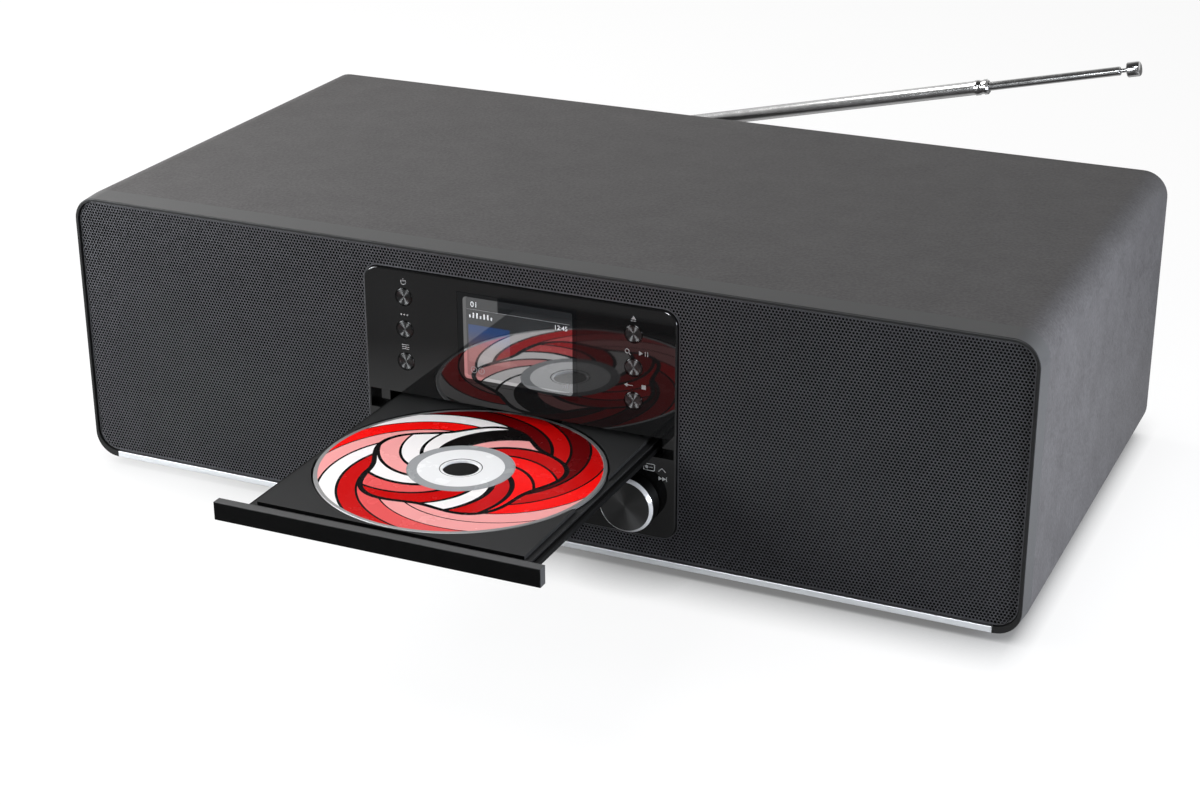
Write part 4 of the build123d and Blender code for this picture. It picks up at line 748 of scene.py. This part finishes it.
def hole_field(width, height):
    """A flat sheet of staggered hexagonal holes, its lower left cell at the origin."""
    rise = hole_pitch * sqrt(3) / 2
    bm = bmesh.new()
    bmesh.ops.create_circle(bm, cap_ends=True, segments=6, radius=hole_pitch / sqrt(3))
    bmesh.ops.inset_individual(bm, faces=bm.faces[:], thickness=hole_pitch / 2 - hole_half_width)
    bmesh.ops.delete(bm, geom=[face for face in bm.faces if len(face.verts) == 6], context="FACES_ONLY")
    copy_along(bm, (hole_pitch / 2, rise, 0))
    repeat(bm, (hole_pitch, 0, 0), width / hole_pitch + 1)
    drop_faces(bm, lambda middle: middle.x > width + 2 * hole_pitch)
    repeat(bm, (0, 2 * rise, 0), height / (2 * rise) + 1)
    drop_faces(bm, lambda middle: middle.y > height + 2 * hole_pitch)
    return bm


def inside(point, low, high, corner):
    """True within a rounded rectangle between two corners of (x, z)."""
    over_x = max(low[0] + corner - point.x, point.x - high[0] + corner, 0)
    over_z = max(low[1] + corner - point.y, point.y - high[1] + corner, 0)
    return hypot(over_x, over_z) <= corner


def make_grille(paint):
    """Perforated sheet in five parts, with plain rims along its outer edge and round the panel."""
    low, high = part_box("speaker_grille")
    panel_low, panel_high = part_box("control_panel")
    margin = rim_width * 0.9
    outer = ((low.x + margin, low.z + margin), (high.x - margin, high.z - margin))
    gap = opening_gap + margin
    opening = ((panel_low.x - gap, panel_low.z - gap), (panel_high.x + gap, panel_high.z + gap))
    left, right = panel_low.x - opening_gap, panel_high.x + opening_gap
    columns = round((left - low.x) / (2 * hole_pitch)) * hole_pitch
    edges = [low.x, left - columns, left, right, right + columns, high.x]
    names = ("left_outer", "left_inner", "middle", "right_inner", "right_outer")
    field = hole_field(high.x - low.x, high.z - low.z)
    bmesh.ops.translate(field, vec=(low.x, low.z, 0), verts=field.verts)
    drop_faces(field, lambda middle: not inside(middle, *outer, grille_corner - margin))
    drop_faces(field, lambda middle: inside(middle, *opening, panel_corner + gap))
    for name, start, end in zip(names, edges, edges[1:]):
        part = field.copy()
        drop_faces(part, lambda middle: not start <= middle.x < end)
        bmesh.ops.remove_doubles(part, verts=part.verts, dist=0.02 * MM)
        thicken(part, web_thickness)
        settle(part, at(0, low.y + web_thickness, 0) @ FRONT)
        replaced = "speaker_grille" if name == "middle" else None
        make_piece("grille_" + name, part, paint, replaced)
    field.free()
    around_panel = opening_gap + rim_width
    for name, first, last, corner, grow in (
        ("grille_rim", low, high, grille_corner, 0),
        ("grille_opening_rim", panel_low, panel_high, panel_corner + around_panel, around_panel),
    ):
        middle = (first + last) / 2
        width, height = last.x - first.x + 2 * grow, last.z - first.z + 2 * grow
        place = at(middle.x, low.y + rim_thickness - rim_proud, middle.z) @ FRONT
        rim = frame_ring(width, height, corner, rim_width, rim_thickness, place)
        make_piece(name, rim, paint)


def make_grille_cloth():
    """Black cloth stretched close behind the perforated sheet, cut out round the panel."""
    low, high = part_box("speaker_grille")
    panel_low, panel_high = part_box("control_panel")
    outline, opening = (high - low), (panel_high - panel_low)
    bm = bmesh.new()
    rounded_face(bm, outline.x - 2 * cloth_margin, outline.z - 2 * cloth_margin, grille_corner)
    outer = set(bm.verts)
    rounded_face(bm, opening.x + 2 * cloth_margin, opening.z + 2 * cloth_margin, panel_corner)
    lift = (panel_low.z + panel_high.z - low.z - high.z) / 2
    bmesh.ops.translate(bm, vec=(0, lift, 0), verts=[v for v in bm.verts if v not in outer])
    bmesh.ops.delete(bm, geom=bm.faces[:], context="FACES_ONLY")
    bmesh.ops.bridge_loops(bm, edges=bm.edges[:])
    area = sum(face.calc_area() for face in bm.faces)
    thicken(bm, cloth_thickness)
    middle = (low + high) / 2
    settle(bm, at(middle.x, low.y + web_thickness + cloth_gap + cloth_thickness, middle.z) @ FRONT)
    cloth = make_piece("grille_cloth", bm, surface(grille_cloth, Specular_IOR_Level=0.02))


# Flat signs, drawn in the XY plane in mm

def bar(bm, x, y, width, height, turn=0.0):
    grid = bmesh.ops.create_grid(bm, x_segments=1, y_segments=1, size=0.5)["verts"]
    bmesh.ops.scale(bm, vec=(width, height, 1), verts=grid)
    bmesh.ops.transform(bm, matrix=at(x, y, 0) @ Matrix.Rotation(radians(turn), 4, "Z"), verts=grid)


def disc_sign(bm, x, y, radius, corners=24, turn=0.0, squash=1.0):
    """A filled circle, or with three corners a triangle that points up before it is turned."""
    place = at(x, y, 0) @ Matrix.Diagonal((1, squash, 1, 1)) @ Matrix.Rotation(radians(turn), 4, "Z")
    bmesh.ops.create_circle(bm, cap_ends=True, segments=corners, radius=radius, matrix=place)


def ring_sign(bm, x, y, radius, width, start=0.0, sweep=360.0):
    """A ring or an arc that starts at an angle from the right and turns anticlockwise."""
    ends = [bm.verts.new((radius + s * width / 2, 0, 0)) for s in (-1, 1)]
    before = set(bm.verts) - set(ends)
    edge = bm.edges.new(ends)
    bmesh.ops.spin(bm, geom=ends + [edge], cent=(0, 0, 0), axis=(0, 0, 1), angle=radians(sweep), steps=20,
                   use_merge=sweep >= 360)
    made = [v for v in bm.verts if v not in before]
    bmesh.ops.transform(bm, matrix=at(x, y, 0) @ Matrix.Rotation(radians(start), 4, "Z"), verts=made)


def figures(bm, text, x, y, height):
    """Digits from the built-in font, their lower left corner at x, y."""
    curve = bpy.data.curves.new("figures", "FONT")
    curve.body = text
    curve.size = height / 0.7
    curve.resolution_u = 3
    holder = bpy.data.objects.new("figures", curve)
    mesh = bpy.data.meshes.new_from_object(holder)
    mesh.transform(at(x, y, 0))
    bm.from_mesh(mesh)
    bpy.data.objects.remove(holder)
    bpy.data.curves.remove(curve)
    bpy.data.meshes.remove(mesh)


def sign_piece(name, bm, material, surface_y, height):
    """Gives flat signs their thickness and sets them on a face that looks along -Y."""
    thicken(bm, height / MM)
    settle(bm, at(0, surface_y, 0) @ FRONT @ Matrix.Scale(MM, 4))
    make_piece(name, bm, material)


# Control panel

def panel_signs(dim, bright):
    """Plain signs: dim ones over the buttons, and ones beside the knob whose print is painted brighter, as
    painted light where the tray shades them.
    """
    panel_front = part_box("control_panel")[0].y
    power, mode, menu, eject, play, stop = (centre_of(name + "_button") / MM for name in button_names)
    above, beside, line = 6.8, 4.7, 0.32
    bm = bmesh.new()
    ring_sign(bm, power.x, power.z + above, 1.15, line, start=130, sweep=280)
    bar(bm, power.x, power.z + above + 0.9, line, 1.4)
    for step in (-1, 0, 1):
        bar(bm, menu.x, menu.z + above + step * 0.95, 3.6, line)
        disc_sign(bm, mode.x + step * 1.5, mode.z + above, 0.4)
    disc_sign(bm, eject.x, eject.z + above + 0.1, 1.35, corners=3, squash=0.75)
    bar(bm, eject.x, eject.z + above - 1.1, 2.3, line)
    disc_sign(bm, play.x + beside - 1.6, play.z + above, 1.2, corners=3, turn=-90)
    for step in (0, 1):
        bar(bm, play.x + beside + 0.6 + step * 1.1, play.z + above, line, 1.9)
    ring_sign(bm, play.x - 2.8, play.z + above + 0.2, 0.9, line)
    bar(bm, play.x - 1.7, play.z + above - 0.9, 1.3, line, turn=-45)
    bar(bm, stop.x + beside, stop.z + above, 1.9, 1.9)
    disc_sign(bm, stop.x - 3.2, stop.z + above, 1.0, corners=3, turn=90)
    bar(bm, stop.x - 1.5, stop.z + above, 2.6, line)
    sign_piece("panel_signs", bm, dim, panel_front, print_height)
    # Painted light: the signs beside the knob take the brighter print, against the tray's shade.
    bm = bmesh.new()
    knob = centre_of("volume_knob") / MM
    sign_x, skip_z = knob.x + 13.2, knob.z + 11.4
    for turn in (-1, 1):
        bar(bm, sign_x - turn * 0.75, knob.z + 15.4, 2.4, line, turn=45 * turn)
    for step in (-1, 0):
        disc_sign(bm, sign_x + step * 1.7 + 0.7, skip_z, 1.1, corners=3, turn=-90)
    bar(bm, sign_x + 2.0, skip_z, line, 2.0)
    box_x, box_z = knob.x + 7.3, knob.z + 15.8
    disc_sign(bm, box_x - 1.1, box_z, 0.7)
    bar(bm, box_x + 0.9, box_z, 1.5, line)
    sign_piece("knob_signs", bm, bright, panel_front, print_height)
    box_sign = frame_ring(5.3 * MM, 3.3 * MM, 0.7 * MM, line * MM, print_height,
                          at(box_x * MM, panel_front, box_z * MM) @ FRONT)
    make_piece("panel_box_sign", box_sign, bright)


def make_window():
    """Smoked window flush with the panel, with the display's glass and its lit figures."""
    low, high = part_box("display_window")
    middle, size = (low + high) / 2, high - low
    sheet = plate(size.x, size.z, window_corner, size.y, at(middle.x, high.y, middle.z) @ FRONT,
                  edge=window_edge)
    make_piece("smoked_window", sheet, window_black(), "display_window", sharp=50,
               flat_faces=True)
    width, height = screen_right - screen_left, screen_high - screen_low
    centre_x, centre_z = (screen_left + screen_right) / 2, (screen_low + screen_high) / 2
    border = plate(width, height, screen_corner, layer_height, at(centre_x, low.y, centre_z) @ FRONT)
    border_glass = surface(screen_glass, grey(0.01), grey(0.014), name="border_glass", IOR=6.0,
                           Emission_Strength=0.3)
    make_piece("screen_border", border, border_glass)
    shift = screen_border / 2
    image = plate(width - screen_border, height - screen_border, screen_corner * 0.5, layer_height,
                  at(centre_x + shift, low.y - layer_height, centre_z + shift) @ FRONT)
    image_glass = surface(screen_glass, grey(0.008, 0.1), grey(0.014, 0.12), name="image_glass", IOR=3.6,
                          Emission_Strength=0.6)
    make_piece("screen_image", image, image_glass)
    screen_figures(low.y - 2 * layer_height)


def screen_figures(surface_y):
    """Plain content of the display: a track number, a clock, lines, level bars and small signs."""
    left, right = screen_left / MM + 3.0, screen_right / MM - 1.2
    top, bottom = screen_high / MM - 1.3, screen_low / MM + 3.2
    bm = bmesh.new()
    figures(bm, "01", left + 0.6, top - 2.9, 2.5)
    figures(bm, "12:45", right - 7.2, top - 7.0, 2.0)
    for step in range(7):
        tall = 1.3 + 1.2 * abs(sin(2.1 * step))
        bar(bm, left + 0.3 + step * 1.7, top - 7.8 + tall / 2, 0.7, tall)
    lit = surface(lit_figures, (0.62, 0.64, 0.66, 1), Emission_Strength=0.5)
    sign_piece("screen_figures", bm, lit, surface_y, figure_height)
    bm = bmesh.new()
    bar(bm, (left + right) / 2 - 0.6, top - 4.0, right - left + 1.2, 0.15)
    for step in (0, 1):
        ring_sign(bm, left + 1.6 + step * 3.6, bottom + 1.2, 1.4, 0.2)
    disc_sign(bm, left + 1.6, bottom + 1.2, 0.5, corners=3, turn=-90)
    bar(bm, left + 5.2, bottom + 1.2, 0.2, 1.2)
    for step in (1, 2, 3):
        bar(bm, right - 4.2 + step, bottom + step * 0.35, 0.4, step * 0.7)
    dim = surface(lit_figures, (0.22, 0.23, 0.24, 1), name="dim_figures", Emission_Strength=0.5)
    sign_piece("screen_signs", bm, dim, surface_y, figure_height)
    bm = bmesh.new()
    picture_z = (top + bottom) / 2 - 3.0
    bar(bm, left + 9.2, picture_z, 19.6, 17.0)
    picture = surface(screen_picture, picture_z * MM, IOR=3.6, Emission_Strength=0.8)
    sign_piece("screen_picture", bm, picture, surface_y, picture_height)


def make_buttons():
    """Six turned push buttons with dished faces, their rims painted near black as shade."""
    for name in button_names:
        centre, flange, length = front_of(name + "_button")
        radius = flange - button_flange_wide
        section = [
            (0, -0.14 * MM), (0.5 * radius, -0.11 * MM), (button_face_radius - 0.15 * MM, -0.03 * MM),
            (button_face_radius, 0), (radius - 0.3 * MM, 0), (radius - 0.1 * MM, -0.06 * MM),
            (radius, -0.25 * MM), (radius, button_flange_front - length),
            (flange, button_flange_front - length), (flange, button_flange_rear - length),
            (button_stem_radius, button_flange_rear - length), (button_stem_radius, -length), (0, -length),
        ]
        bm = bmesh.new()
        lathe(bm, section, 48, Matrix.Translation(centre) @ FRONT)
        # Painted shade: the rim is painted darker than the face, for the shaded gap round each button.
        metal = surface(spun_metal, centre, button_face_radius, 0.3 * MM, grey(0.05), grey(0.03), 0.44, 1.0,
                        name="spun_" + name, Anisotropic=1.0, Anisotropic_Rotation=0.25)
        make_piece(name + "_push_button", bm, metal, name + "_button", sharp=50)


def make_knob():
    """Volume knob: spun black face, bright chamfer, gloss side and its shaft."""
    centre, radius, length = front_of("volume_knob")
    face = radius - knob_chamfer_wide
    section = [
        (0, 0), (face - 0.25 * MM, 0), (face - 0.2 * MM, -0.08 * MM), (face - 0.05 * MM, -0.08 * MM),
        (face, 0), (radius - 0.12 * MM, 0.12 * MM - knob_chamfer_deep),
        (radius, -knob_chamfer_deep - 0.1 * MM), (radius, 0.3 * MM - knob_depth),
        (radius - 0.3 * MM, -knob_depth), (knob_shaft_radius, -knob_depth), (knob_shaft_radius, -length),
        (0, -length),
    ]
    bm = bmesh.new()
    lathe(bm, section, 128, Matrix.Translation(centre) @ FRONT)
    metal = surface(spun_metal, centre, face, knob_chamfer_deep, grey(0.06), grey(0.95), 0.5, 0.3,
                    name="spun_knob", Anisotropic=0.7, Anisotropic_Rotation=0.25)
    make_piece("volume_knob_turned", bm, metal, "volume_knob", sharp=25)


# Disc and tray

def make_disc():
    low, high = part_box("compact_disc")
    middle = (low + high) / 2
    outer, thick, hole = (high.x - low.x) / 2, high.z - low.z, disc_hole_radius
    section = [
        (hole + 0.15 * MM, 0), (outer - 0.2 * MM, 0), (outer, 0.2 * MM), (outer, thick - 0.2 * MM),
        (outer - 0.2 * MM, thick), (disc_art_outer + 0.05 * MM, thick),
        (disc_art_outer, thick - 0.03 * MM), (disc_ring_outer, thick - 0.03 * MM),
        (disc_ring_outer - 0.1 * MM, thick - 0.12 * MM), (disc_ring_outer - 0.5 * MM, thick - 0.12 * MM),
        (disc_ring_outer - 0.6 * MM, thick), (disc_hub_radius, thick),
        (disc_hub_radius - 0.1 * MM, thick - 0.1 * MM), (hole + 0.15 * MM, thick - 0.1 * MM),
        (hole, thick - 0.2 * MM), (hole, 0.15 * MM),
    ]
    bm = bmesh.new()
    lathe(bm, section, 160, at(middle.x, middle.y, low.z))
    printed = surface(disc_print, middle, Specular_IOR_Level=0.15)
    make_piece("printed_disc", bm, printed, "compact_disc", sharp=25)


def step_down(bm, place, outwards, top):
    """Lowers the top beyond a line: two cuts close together, and the step between them."""
    for gap in (0, 0.02 * MM):
        faces = [face for face in bm.faces if min(v.co.z for v in face.verts) > top - 0.1 * MM]
        geom = list({item for face in faces for item in (face, *face.edges, *face.verts)})
        bmesh.ops.bisect_plane(bm, geom=geom, plane_co=place + gap * outwards, plane_no=outwards,
                               dist=0.001 * MM)
    beyond = [v for v in bm.verts if (v.co - place).dot(outwards) > 0.01 * MM and v.co.z > top - 0.1 * MM]
    bmesh.ops.translate(bm, vec=(0, 0, -tray_step_deep), verts=beyond)


def make_tray():
    bar_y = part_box("tray_front")[1].y
    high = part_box("disc_tray")[1]
    satin = surface(tray_satin_painted_light, bar_y, high.z - tray_flange_low, Specular_IOR_Level=0.08)
    tray = joined_copy("disc_tray")
    step_down(tray, Vector((0, bar_y + tray_step_front, 0)), Vector((0, -1, 0)), high.z)
    for side in (-1, 1):
        edge_x = side * (high.x - tray_flange_wide - tray_step_side)
        step_down(tray, Vector((edge_x, 0, 0)), Vector((side, 0, 0)), high.z)
    soften(tray, tray_round)
    make_piece("tray_softened", tray, satin, "disc_tray", sharp=50, flat_faces=True)
    front = joined_copy("tray_front")
    soften(front, bar_round)
    make_piece("tray_bar", front, satin, "tray_front", sharp=50, flat_faces=True)


# Antenna, surrounds, feet and rear fittings

def base_tube_section():
    """Radius and length of the lowest tube, with the beaded ferrule at its end."""
    start, end, slope = antenna_base_start, antenna_base_end, antenna_slope
    radius, bore, ferrule = antenna_base_radius, antenna_base_bore, antenna_base_radius + 0.35 * MM
    mouth = antenna_middle_radius + antenna_gap
    return [
        (0, start), (radius - slope, start), (radius, start + slope), (radius, end - 7.0 * MM),
        (ferrule, end - 6.6 * MM), (ferrule, end - 4.6 * MM), (radius, end - 4.2 * MM),
        (radius, end - 2.6 * MM), (ferrule, end - 2.2 * MM), (ferrule, end - 2 * slope),
        (ferrule - 2 * slope, end), (mouth, end), (mouth, end - 7.0 * MM), (bore, end - 7.0 * MM),
        (bore, start + 3.0 * MM), (0, start + 3.0 * MM),
    ]


def middle_tube_section():
    start, end, slope = antenna_middle_start, antenna_middle_end, antenna_slope
    radius, bore, sliding = antenna_middle_radius, antenna_middle_bore, antenna_base_bore - antenna_gap
    mouth = antenna_rod_radius + antenna_gap
    return [
        (bore, start), (sliding, start), (sliding, start + 5.0 * MM), (radius, start + 5.0 * MM),
        (radius, end - slope), (radius - slope, end), (mouth, end), (mouth, end - 4.0 * MM),
        (bore, end - 4.0 * MM),
    ]


def tip_rod_section():
    """The thin rod with its cap."""
    start, end, tip = antenna_rod_start, antenna_rod_end, antenna_rod_end + antenna_cap_length
    radius, cap, sliding = antenna_rod_radius, antenna_cap_radius, antenna_middle_bore - antenna_gap
    return [
        (0, start), (sliding, start), (sliding, start + 4.0 * MM), (radius, start + 4.0 * MM),
        (radius, end), (cap - 0.4 * MM, end), (cap, end + 0.4 * MM), (cap, tip - 1.0 * MM),
        (cap - 0.3 * MM, tip - 0.3 * MM), (cap - 0.9 * MM, tip), (0, tip),
    ]


def make_antenna(metal):
    """Plated swivel, and the tang, tubes and rod turned about the antenna's line."""
    joints = {joint["name"]: joint for joint in behaviour["joints"]}
    pivot = Vector(joints["antenna_tilt"]["pos_m"])
    line = Vector(joints["antenna_tip_slide"]["axis"])
    place = Matrix.Translation(pivot) @ line.to_track_quat("Z", "Y").to_matrix().to_4x4()
    tang = joined_copy("antenna_base_tube")
    bmesh.ops.bisect_plane(tang, geom=tang.verts[:] + tang.edges[:] + tang.faces[:], plane_no=line,
                           plane_co=pivot + line * (antenna_base_start - 0.01 * MM), clear_outer=True)
    bmesh.ops.holes_fill(tang, edges=tang.edges)
    bmesh.ops.recalc_face_normals(tang, faces=tang.faces)
    for node, bm, section in (
        ("antenna_swivel", joined_copy("antenna_swivel"), None),
        ("antenna_base_tube", tang, base_tube_section()),
        ("antenna_mid_tube", bmesh.new(), middle_tube_section()),
        ("antenna_tip_rod", bmesh.new(), tip_rod_section()),
    ):
        if section:
            lathe(bm, section, 40, place)
        make_piece(node + "_plated", bm, metal, node)


def make_surrounds(rubber):
    """Rolls round the speaker cones, each with a mesh of its own."""
    for side in ("left", "right"):
        node = side + "_surround"
        roll = make_piece(side + "_roll", joined_copy(node), rubber, node)
        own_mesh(roll)


def make_feet(rubber):
    """Four rubber feet, each with a screw recess."""
    low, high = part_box("rubber_feet")
    radius, tall = foot_radius, high.z - low.z
    section = [
        (0, 1.0 * MM), (2.6 * MM, 1.0 * MM), (2.9 * MM, 0.1 * MM), (3.2 * MM, 0), (radius - 1.2 * MM, 0),
        (radius - 0.4 * MM, 0.4 * MM), (radius, tall - 0.2 * MM), (radius, tall), (0, tall),
    ]
    bm = bmesh.new()
    for x in (low.x + radius, high.x - radius):
        for y in (low.y + radius, high.y - radius):
            lathe(bm, section, 48, at(x, y, low.z))
    make_piece("ribbed_feet", bm, rubber, "rubber_feet")


def make_jack_rings(metal):
    """Bright contact rings in the mouths of the two jack sockets."""
    low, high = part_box("rear_jacks")
    section = [
        (1.85 * MM, 0), (1.85 * MM, 0.25 * MM), (2.0 * MM, 0.4 * MM), (2.9 * MM, 0.4 * MM),
        (3.1 * MM, 0.2 * MM), (3.1 * MM, 0),
    ]
    bm = bmesh.new()
    for x in (low.x + jack_from_side, high.x - jack_from_side):
        lathe(bm, section, 40, at(x, high.y, jack_height) @ FRONT.inverted())
    make_piece("jack_rings", bm, metal)


# Studio

def make_camera():
    data = bpy.data.cameras.new("camera")
    data.lens = lens_length
    data.sensor_width = sensor_width
    data.sensor_fit = "HORIZONTAL"
    data.clip_start = 0.01
    level = cos(camera_elevation)
    back = Vector((sin(camera_azimuth) * level, -cos(camera_azimuth) * level, sin(camera_elevation)))
    right = Vector((cos(camera_azimuth), sin(camera_azimuth), 0))
    turn = Matrix((right, back.cross(right), back)).transposed().to_4x4()
    camera = show("camera", data)
    camera.matrix_world = Matrix.Translation(camera_place) @ turn @ Matrix.Rotation(camera_roll, 4, "Z")
    scene.camera = camera


def seen_rays(tree):
    """1 for rays that show the surface itself: camera, glossy and transmission rays."""
    rays = add(tree, "LightPath").outputs
    direct = calc(tree, "MAXIMUM", rays["Is Camera Ray"], rays["Is Glossy Ray"])
    return calc(tree, "MAXIMUM", direct, rays["Is Transmission Ray"])


def make_world(ambient, overhead, ahead):
    """Even light. The backdrop shows white, and reflections grow darker upwards and to the front."""
    world = bpy.data.worlds.new("studio")
    world.use_nodes = True
    tree = world.node_tree
    background = next(node for node in tree.nodes if node.type == "BACKGROUND")
    background.inputs["Color"].default_value = (1, 1, 1, 1)
    way = add(tree, "TexCoord").outputs["Generated"]
    upwards = spread(tree, along(tree, way, "Z"), 0.45, 0.9, 1.0, overhead)
    forwards = spread(tree, along(tree, way, "Y"), -0.5, 0.2, ahead, 1.0)
    reflected = calc(tree, "MULTIPLY", upwards, forwards)
    strength = spread(tree, seen_rays(tree), 0.0, 1.0, ambient, reflected)
    camera = add(tree, "LightPath").outputs["Is Camera Ray"]
    put(tree, background, "Strength", calc(tree, "MAXIMUM", strength, camera))
    scene.world = world


def make_floor(albedo, shown_albedo, glow):
    """Pale floor that shows white where nothing shades it, and fades away in reflections."""
    bm = bmesh.new()
    bmesh.ops.create_grid(bm, x_segments=1, y_segments=1, size=4.0)
    bmesh.ops.translate(bm, vec=(0, 0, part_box("rubber_feet")[0].z), verts=bm.verts)
    mesh = bpy.data.meshes.new("floor")
    bm.to_mesh(mesh)
    bm.free()
    material = bpy.data.materials.new("floor")
    material.use_nodes = True
    tree = material.node_tree
    tree.nodes.clear()
    place = add(tree, "TexCoord").outputs["Object"]
    spot = add(tree, "Mapping", {"Vector": place, "Scale": floor_squeeze}).outputs[0]
    near = spread(tree, vectors(tree, "LENGTH", spot), floor_near, floor_far, near_share, far_share)
    camera = add(tree, "LightPath").outputs["Is Camera Ray"]
    shown = calc(tree, "MULTIPLY", seen_rays(tree), calc(tree, "MAXIMUM", near, camera))
    own = mix(tree, seen_rays(tree), grey(albedo), mix(tree, shown, grey(0), grey(shown_albedo)))
    matt = add(tree, "BsdfDiffuse", {"Color": own})
    reach = spread(tree, camera, 0.0, 1.0, mirrored_reach, contact_reach)
    clear = add(tree, "AmbientOcclusion", {"Distance": reach}).outputs["AO"]
    sideways = along(tree, spot, "X")
    faded = calc(tree, "MAXIMUM", spread(tree, sideways, *left_fade), spread(tree, sideways, *right_fade))
    darkest = calc(tree, "MAXIMUM", calc(tree, "MULTIPLY", camera, faded), 0.2)
    lit = calc(tree, "MULTIPLY", spread(tree, clear, 0.3, 1.0, darkest, 1.0), glow)
    light = add(tree, "Emission", {"Strength": calc(tree, "MULTIPLY", shown, lit)})
    both = add(tree, "AddShader", {0: matt.outputs[0], 1: light.outputs[0]})
    add(tree, "OutputMaterial", {"Surface": both.outputs[0]})
    mesh.materials.append(material)
    show("floor", mesh)


def make_lamp(name, place, aim, width, height, power, colour, only_shine=False):
    """A soft rectangular lamp that looks at a point. One with only_shine shows in reflections alone."""
    data = bpy.data.lights.new(name, "AREA")
    data.shape = "RECTANGLE"
    data.size = width
    data.size_y = height
    data.energy = power
    data.color = colour
    lamp = show(name, data)
    lamp.visible_camera = False
    lamp.visible_diffuse = not only_shine
    look = (Vector(aim) - Vector(place)).to_track_quat("-Z", "Y")
    lamp.matrix_world = Matrix.Translation(place) @ look.to_matrix().to_4x4()


def make_studio():
    cool = (0.94, 0.97, 1.0)
    make_camera()
    make_world(ambient=0.1, overhead=0.12, ahead=0.15)
    make_floor(albedo=0.4, shown_albedo=0.12, glow=0.9)
    make_lamp("top_lamp", (-0.95, 0.15, 1.0), (-0.2, 0, 0.1), 0.8, 0.8, 16, (1.0, 0.985, 0.975))
    make_lamp("side_lamp", (0.62, -0.13, 0.15), (0.22, -0.05, 0.07), 0.3, 0.15, 3.8, (0.9, 0.95, 1.05))
    make_lamp("left_lamp", (-0.5, -0.45, 0.27), (-0.15, -0.1, 0.06), 0.3, 0.3, 4.2, cool)
    make_lamp("front_lamp", (-0.15, -1.7, 0.55), (0, -0.1, 0.06), 0.5, 0.4, 1.5, cool)
    make_lamp("left_shine", (-1.2, -1.3, 0.25), (0, -0.1, 0.06), 0.35, 0.35, 14, cool, only_shine=True)
    make_lamp("front_shine", (-0.05, -1.5, 0.6), (0, -0.1, 0.06), 0.35, 0.35, 24, cool, only_shine=True)
    make_lamp("knob_shine", (0.22, -0.96, 1.2), (0.05, -0.12, 0.03), 0.3, 0.3, 3.5, cool, only_shine=True)


# Making

make_studio()
steel = zinc_steel()
white = acetal()
smooth = smooth_mould()
rubber = moulded_rubber()
dress(foil_wrap(), "cabinet_shell")
dress(surface(ring_plastic, *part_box("front_ring"), Specular_IOR_Level=0.2), "front_ring")
dress(surface(trim_metal_painted_shade, Metallic=0.7), "trim_strip")
dress(piano_black(), "control_panel")
dress(black_mould(), "rear_panel", "drive_frame", "traverse_frame", "mains_inlet")
dress(smooth, "bass_ports", "rear_jacks", "antenna_socket", "turntable", "tact_switches", "display_module")
dress(black_board(), "front_baffle")
dress(white, "encoder_plunger", "clamp_puck", "motor_pulley", "pulley_gear", "drive_gear", "board_standoffs")
dress(grey_mould(), "encoder_body")
dress(steel, "clamp_bridge", "guide_rods", "lead_screw", "sled_motor", "spindle_motor", "loading_motor")
dress(black_zinc(), "rear_panel_screws", "speaker_screws")
dress(basket_paint(), "speaker_baskets")
dress(ferrite(), "speaker_magnets")
dress(extruded_alloy(), "heat_sink", "laser_pickup")
dress(surface(board_green), "main_board", "power_board", "panel_board")
dress(paper_cone(), "left_cone", "right_cone")
dress(rubber, "drive_belt", "traverse_dampers")
make_grille(grille_paint())
make_grille_cloth()
panel_signs(print_grey(), print_white_painted_light())
make_window()
make_buttons()
make_knob()
make_disc()
make_tray()
make_antenna(surface(chrome, Metallic=1.0))
make_surrounds(rubber)
make_feet(rubber)
make_jack_rings(steel)

scene.view_settings.view_transform = "Standard"
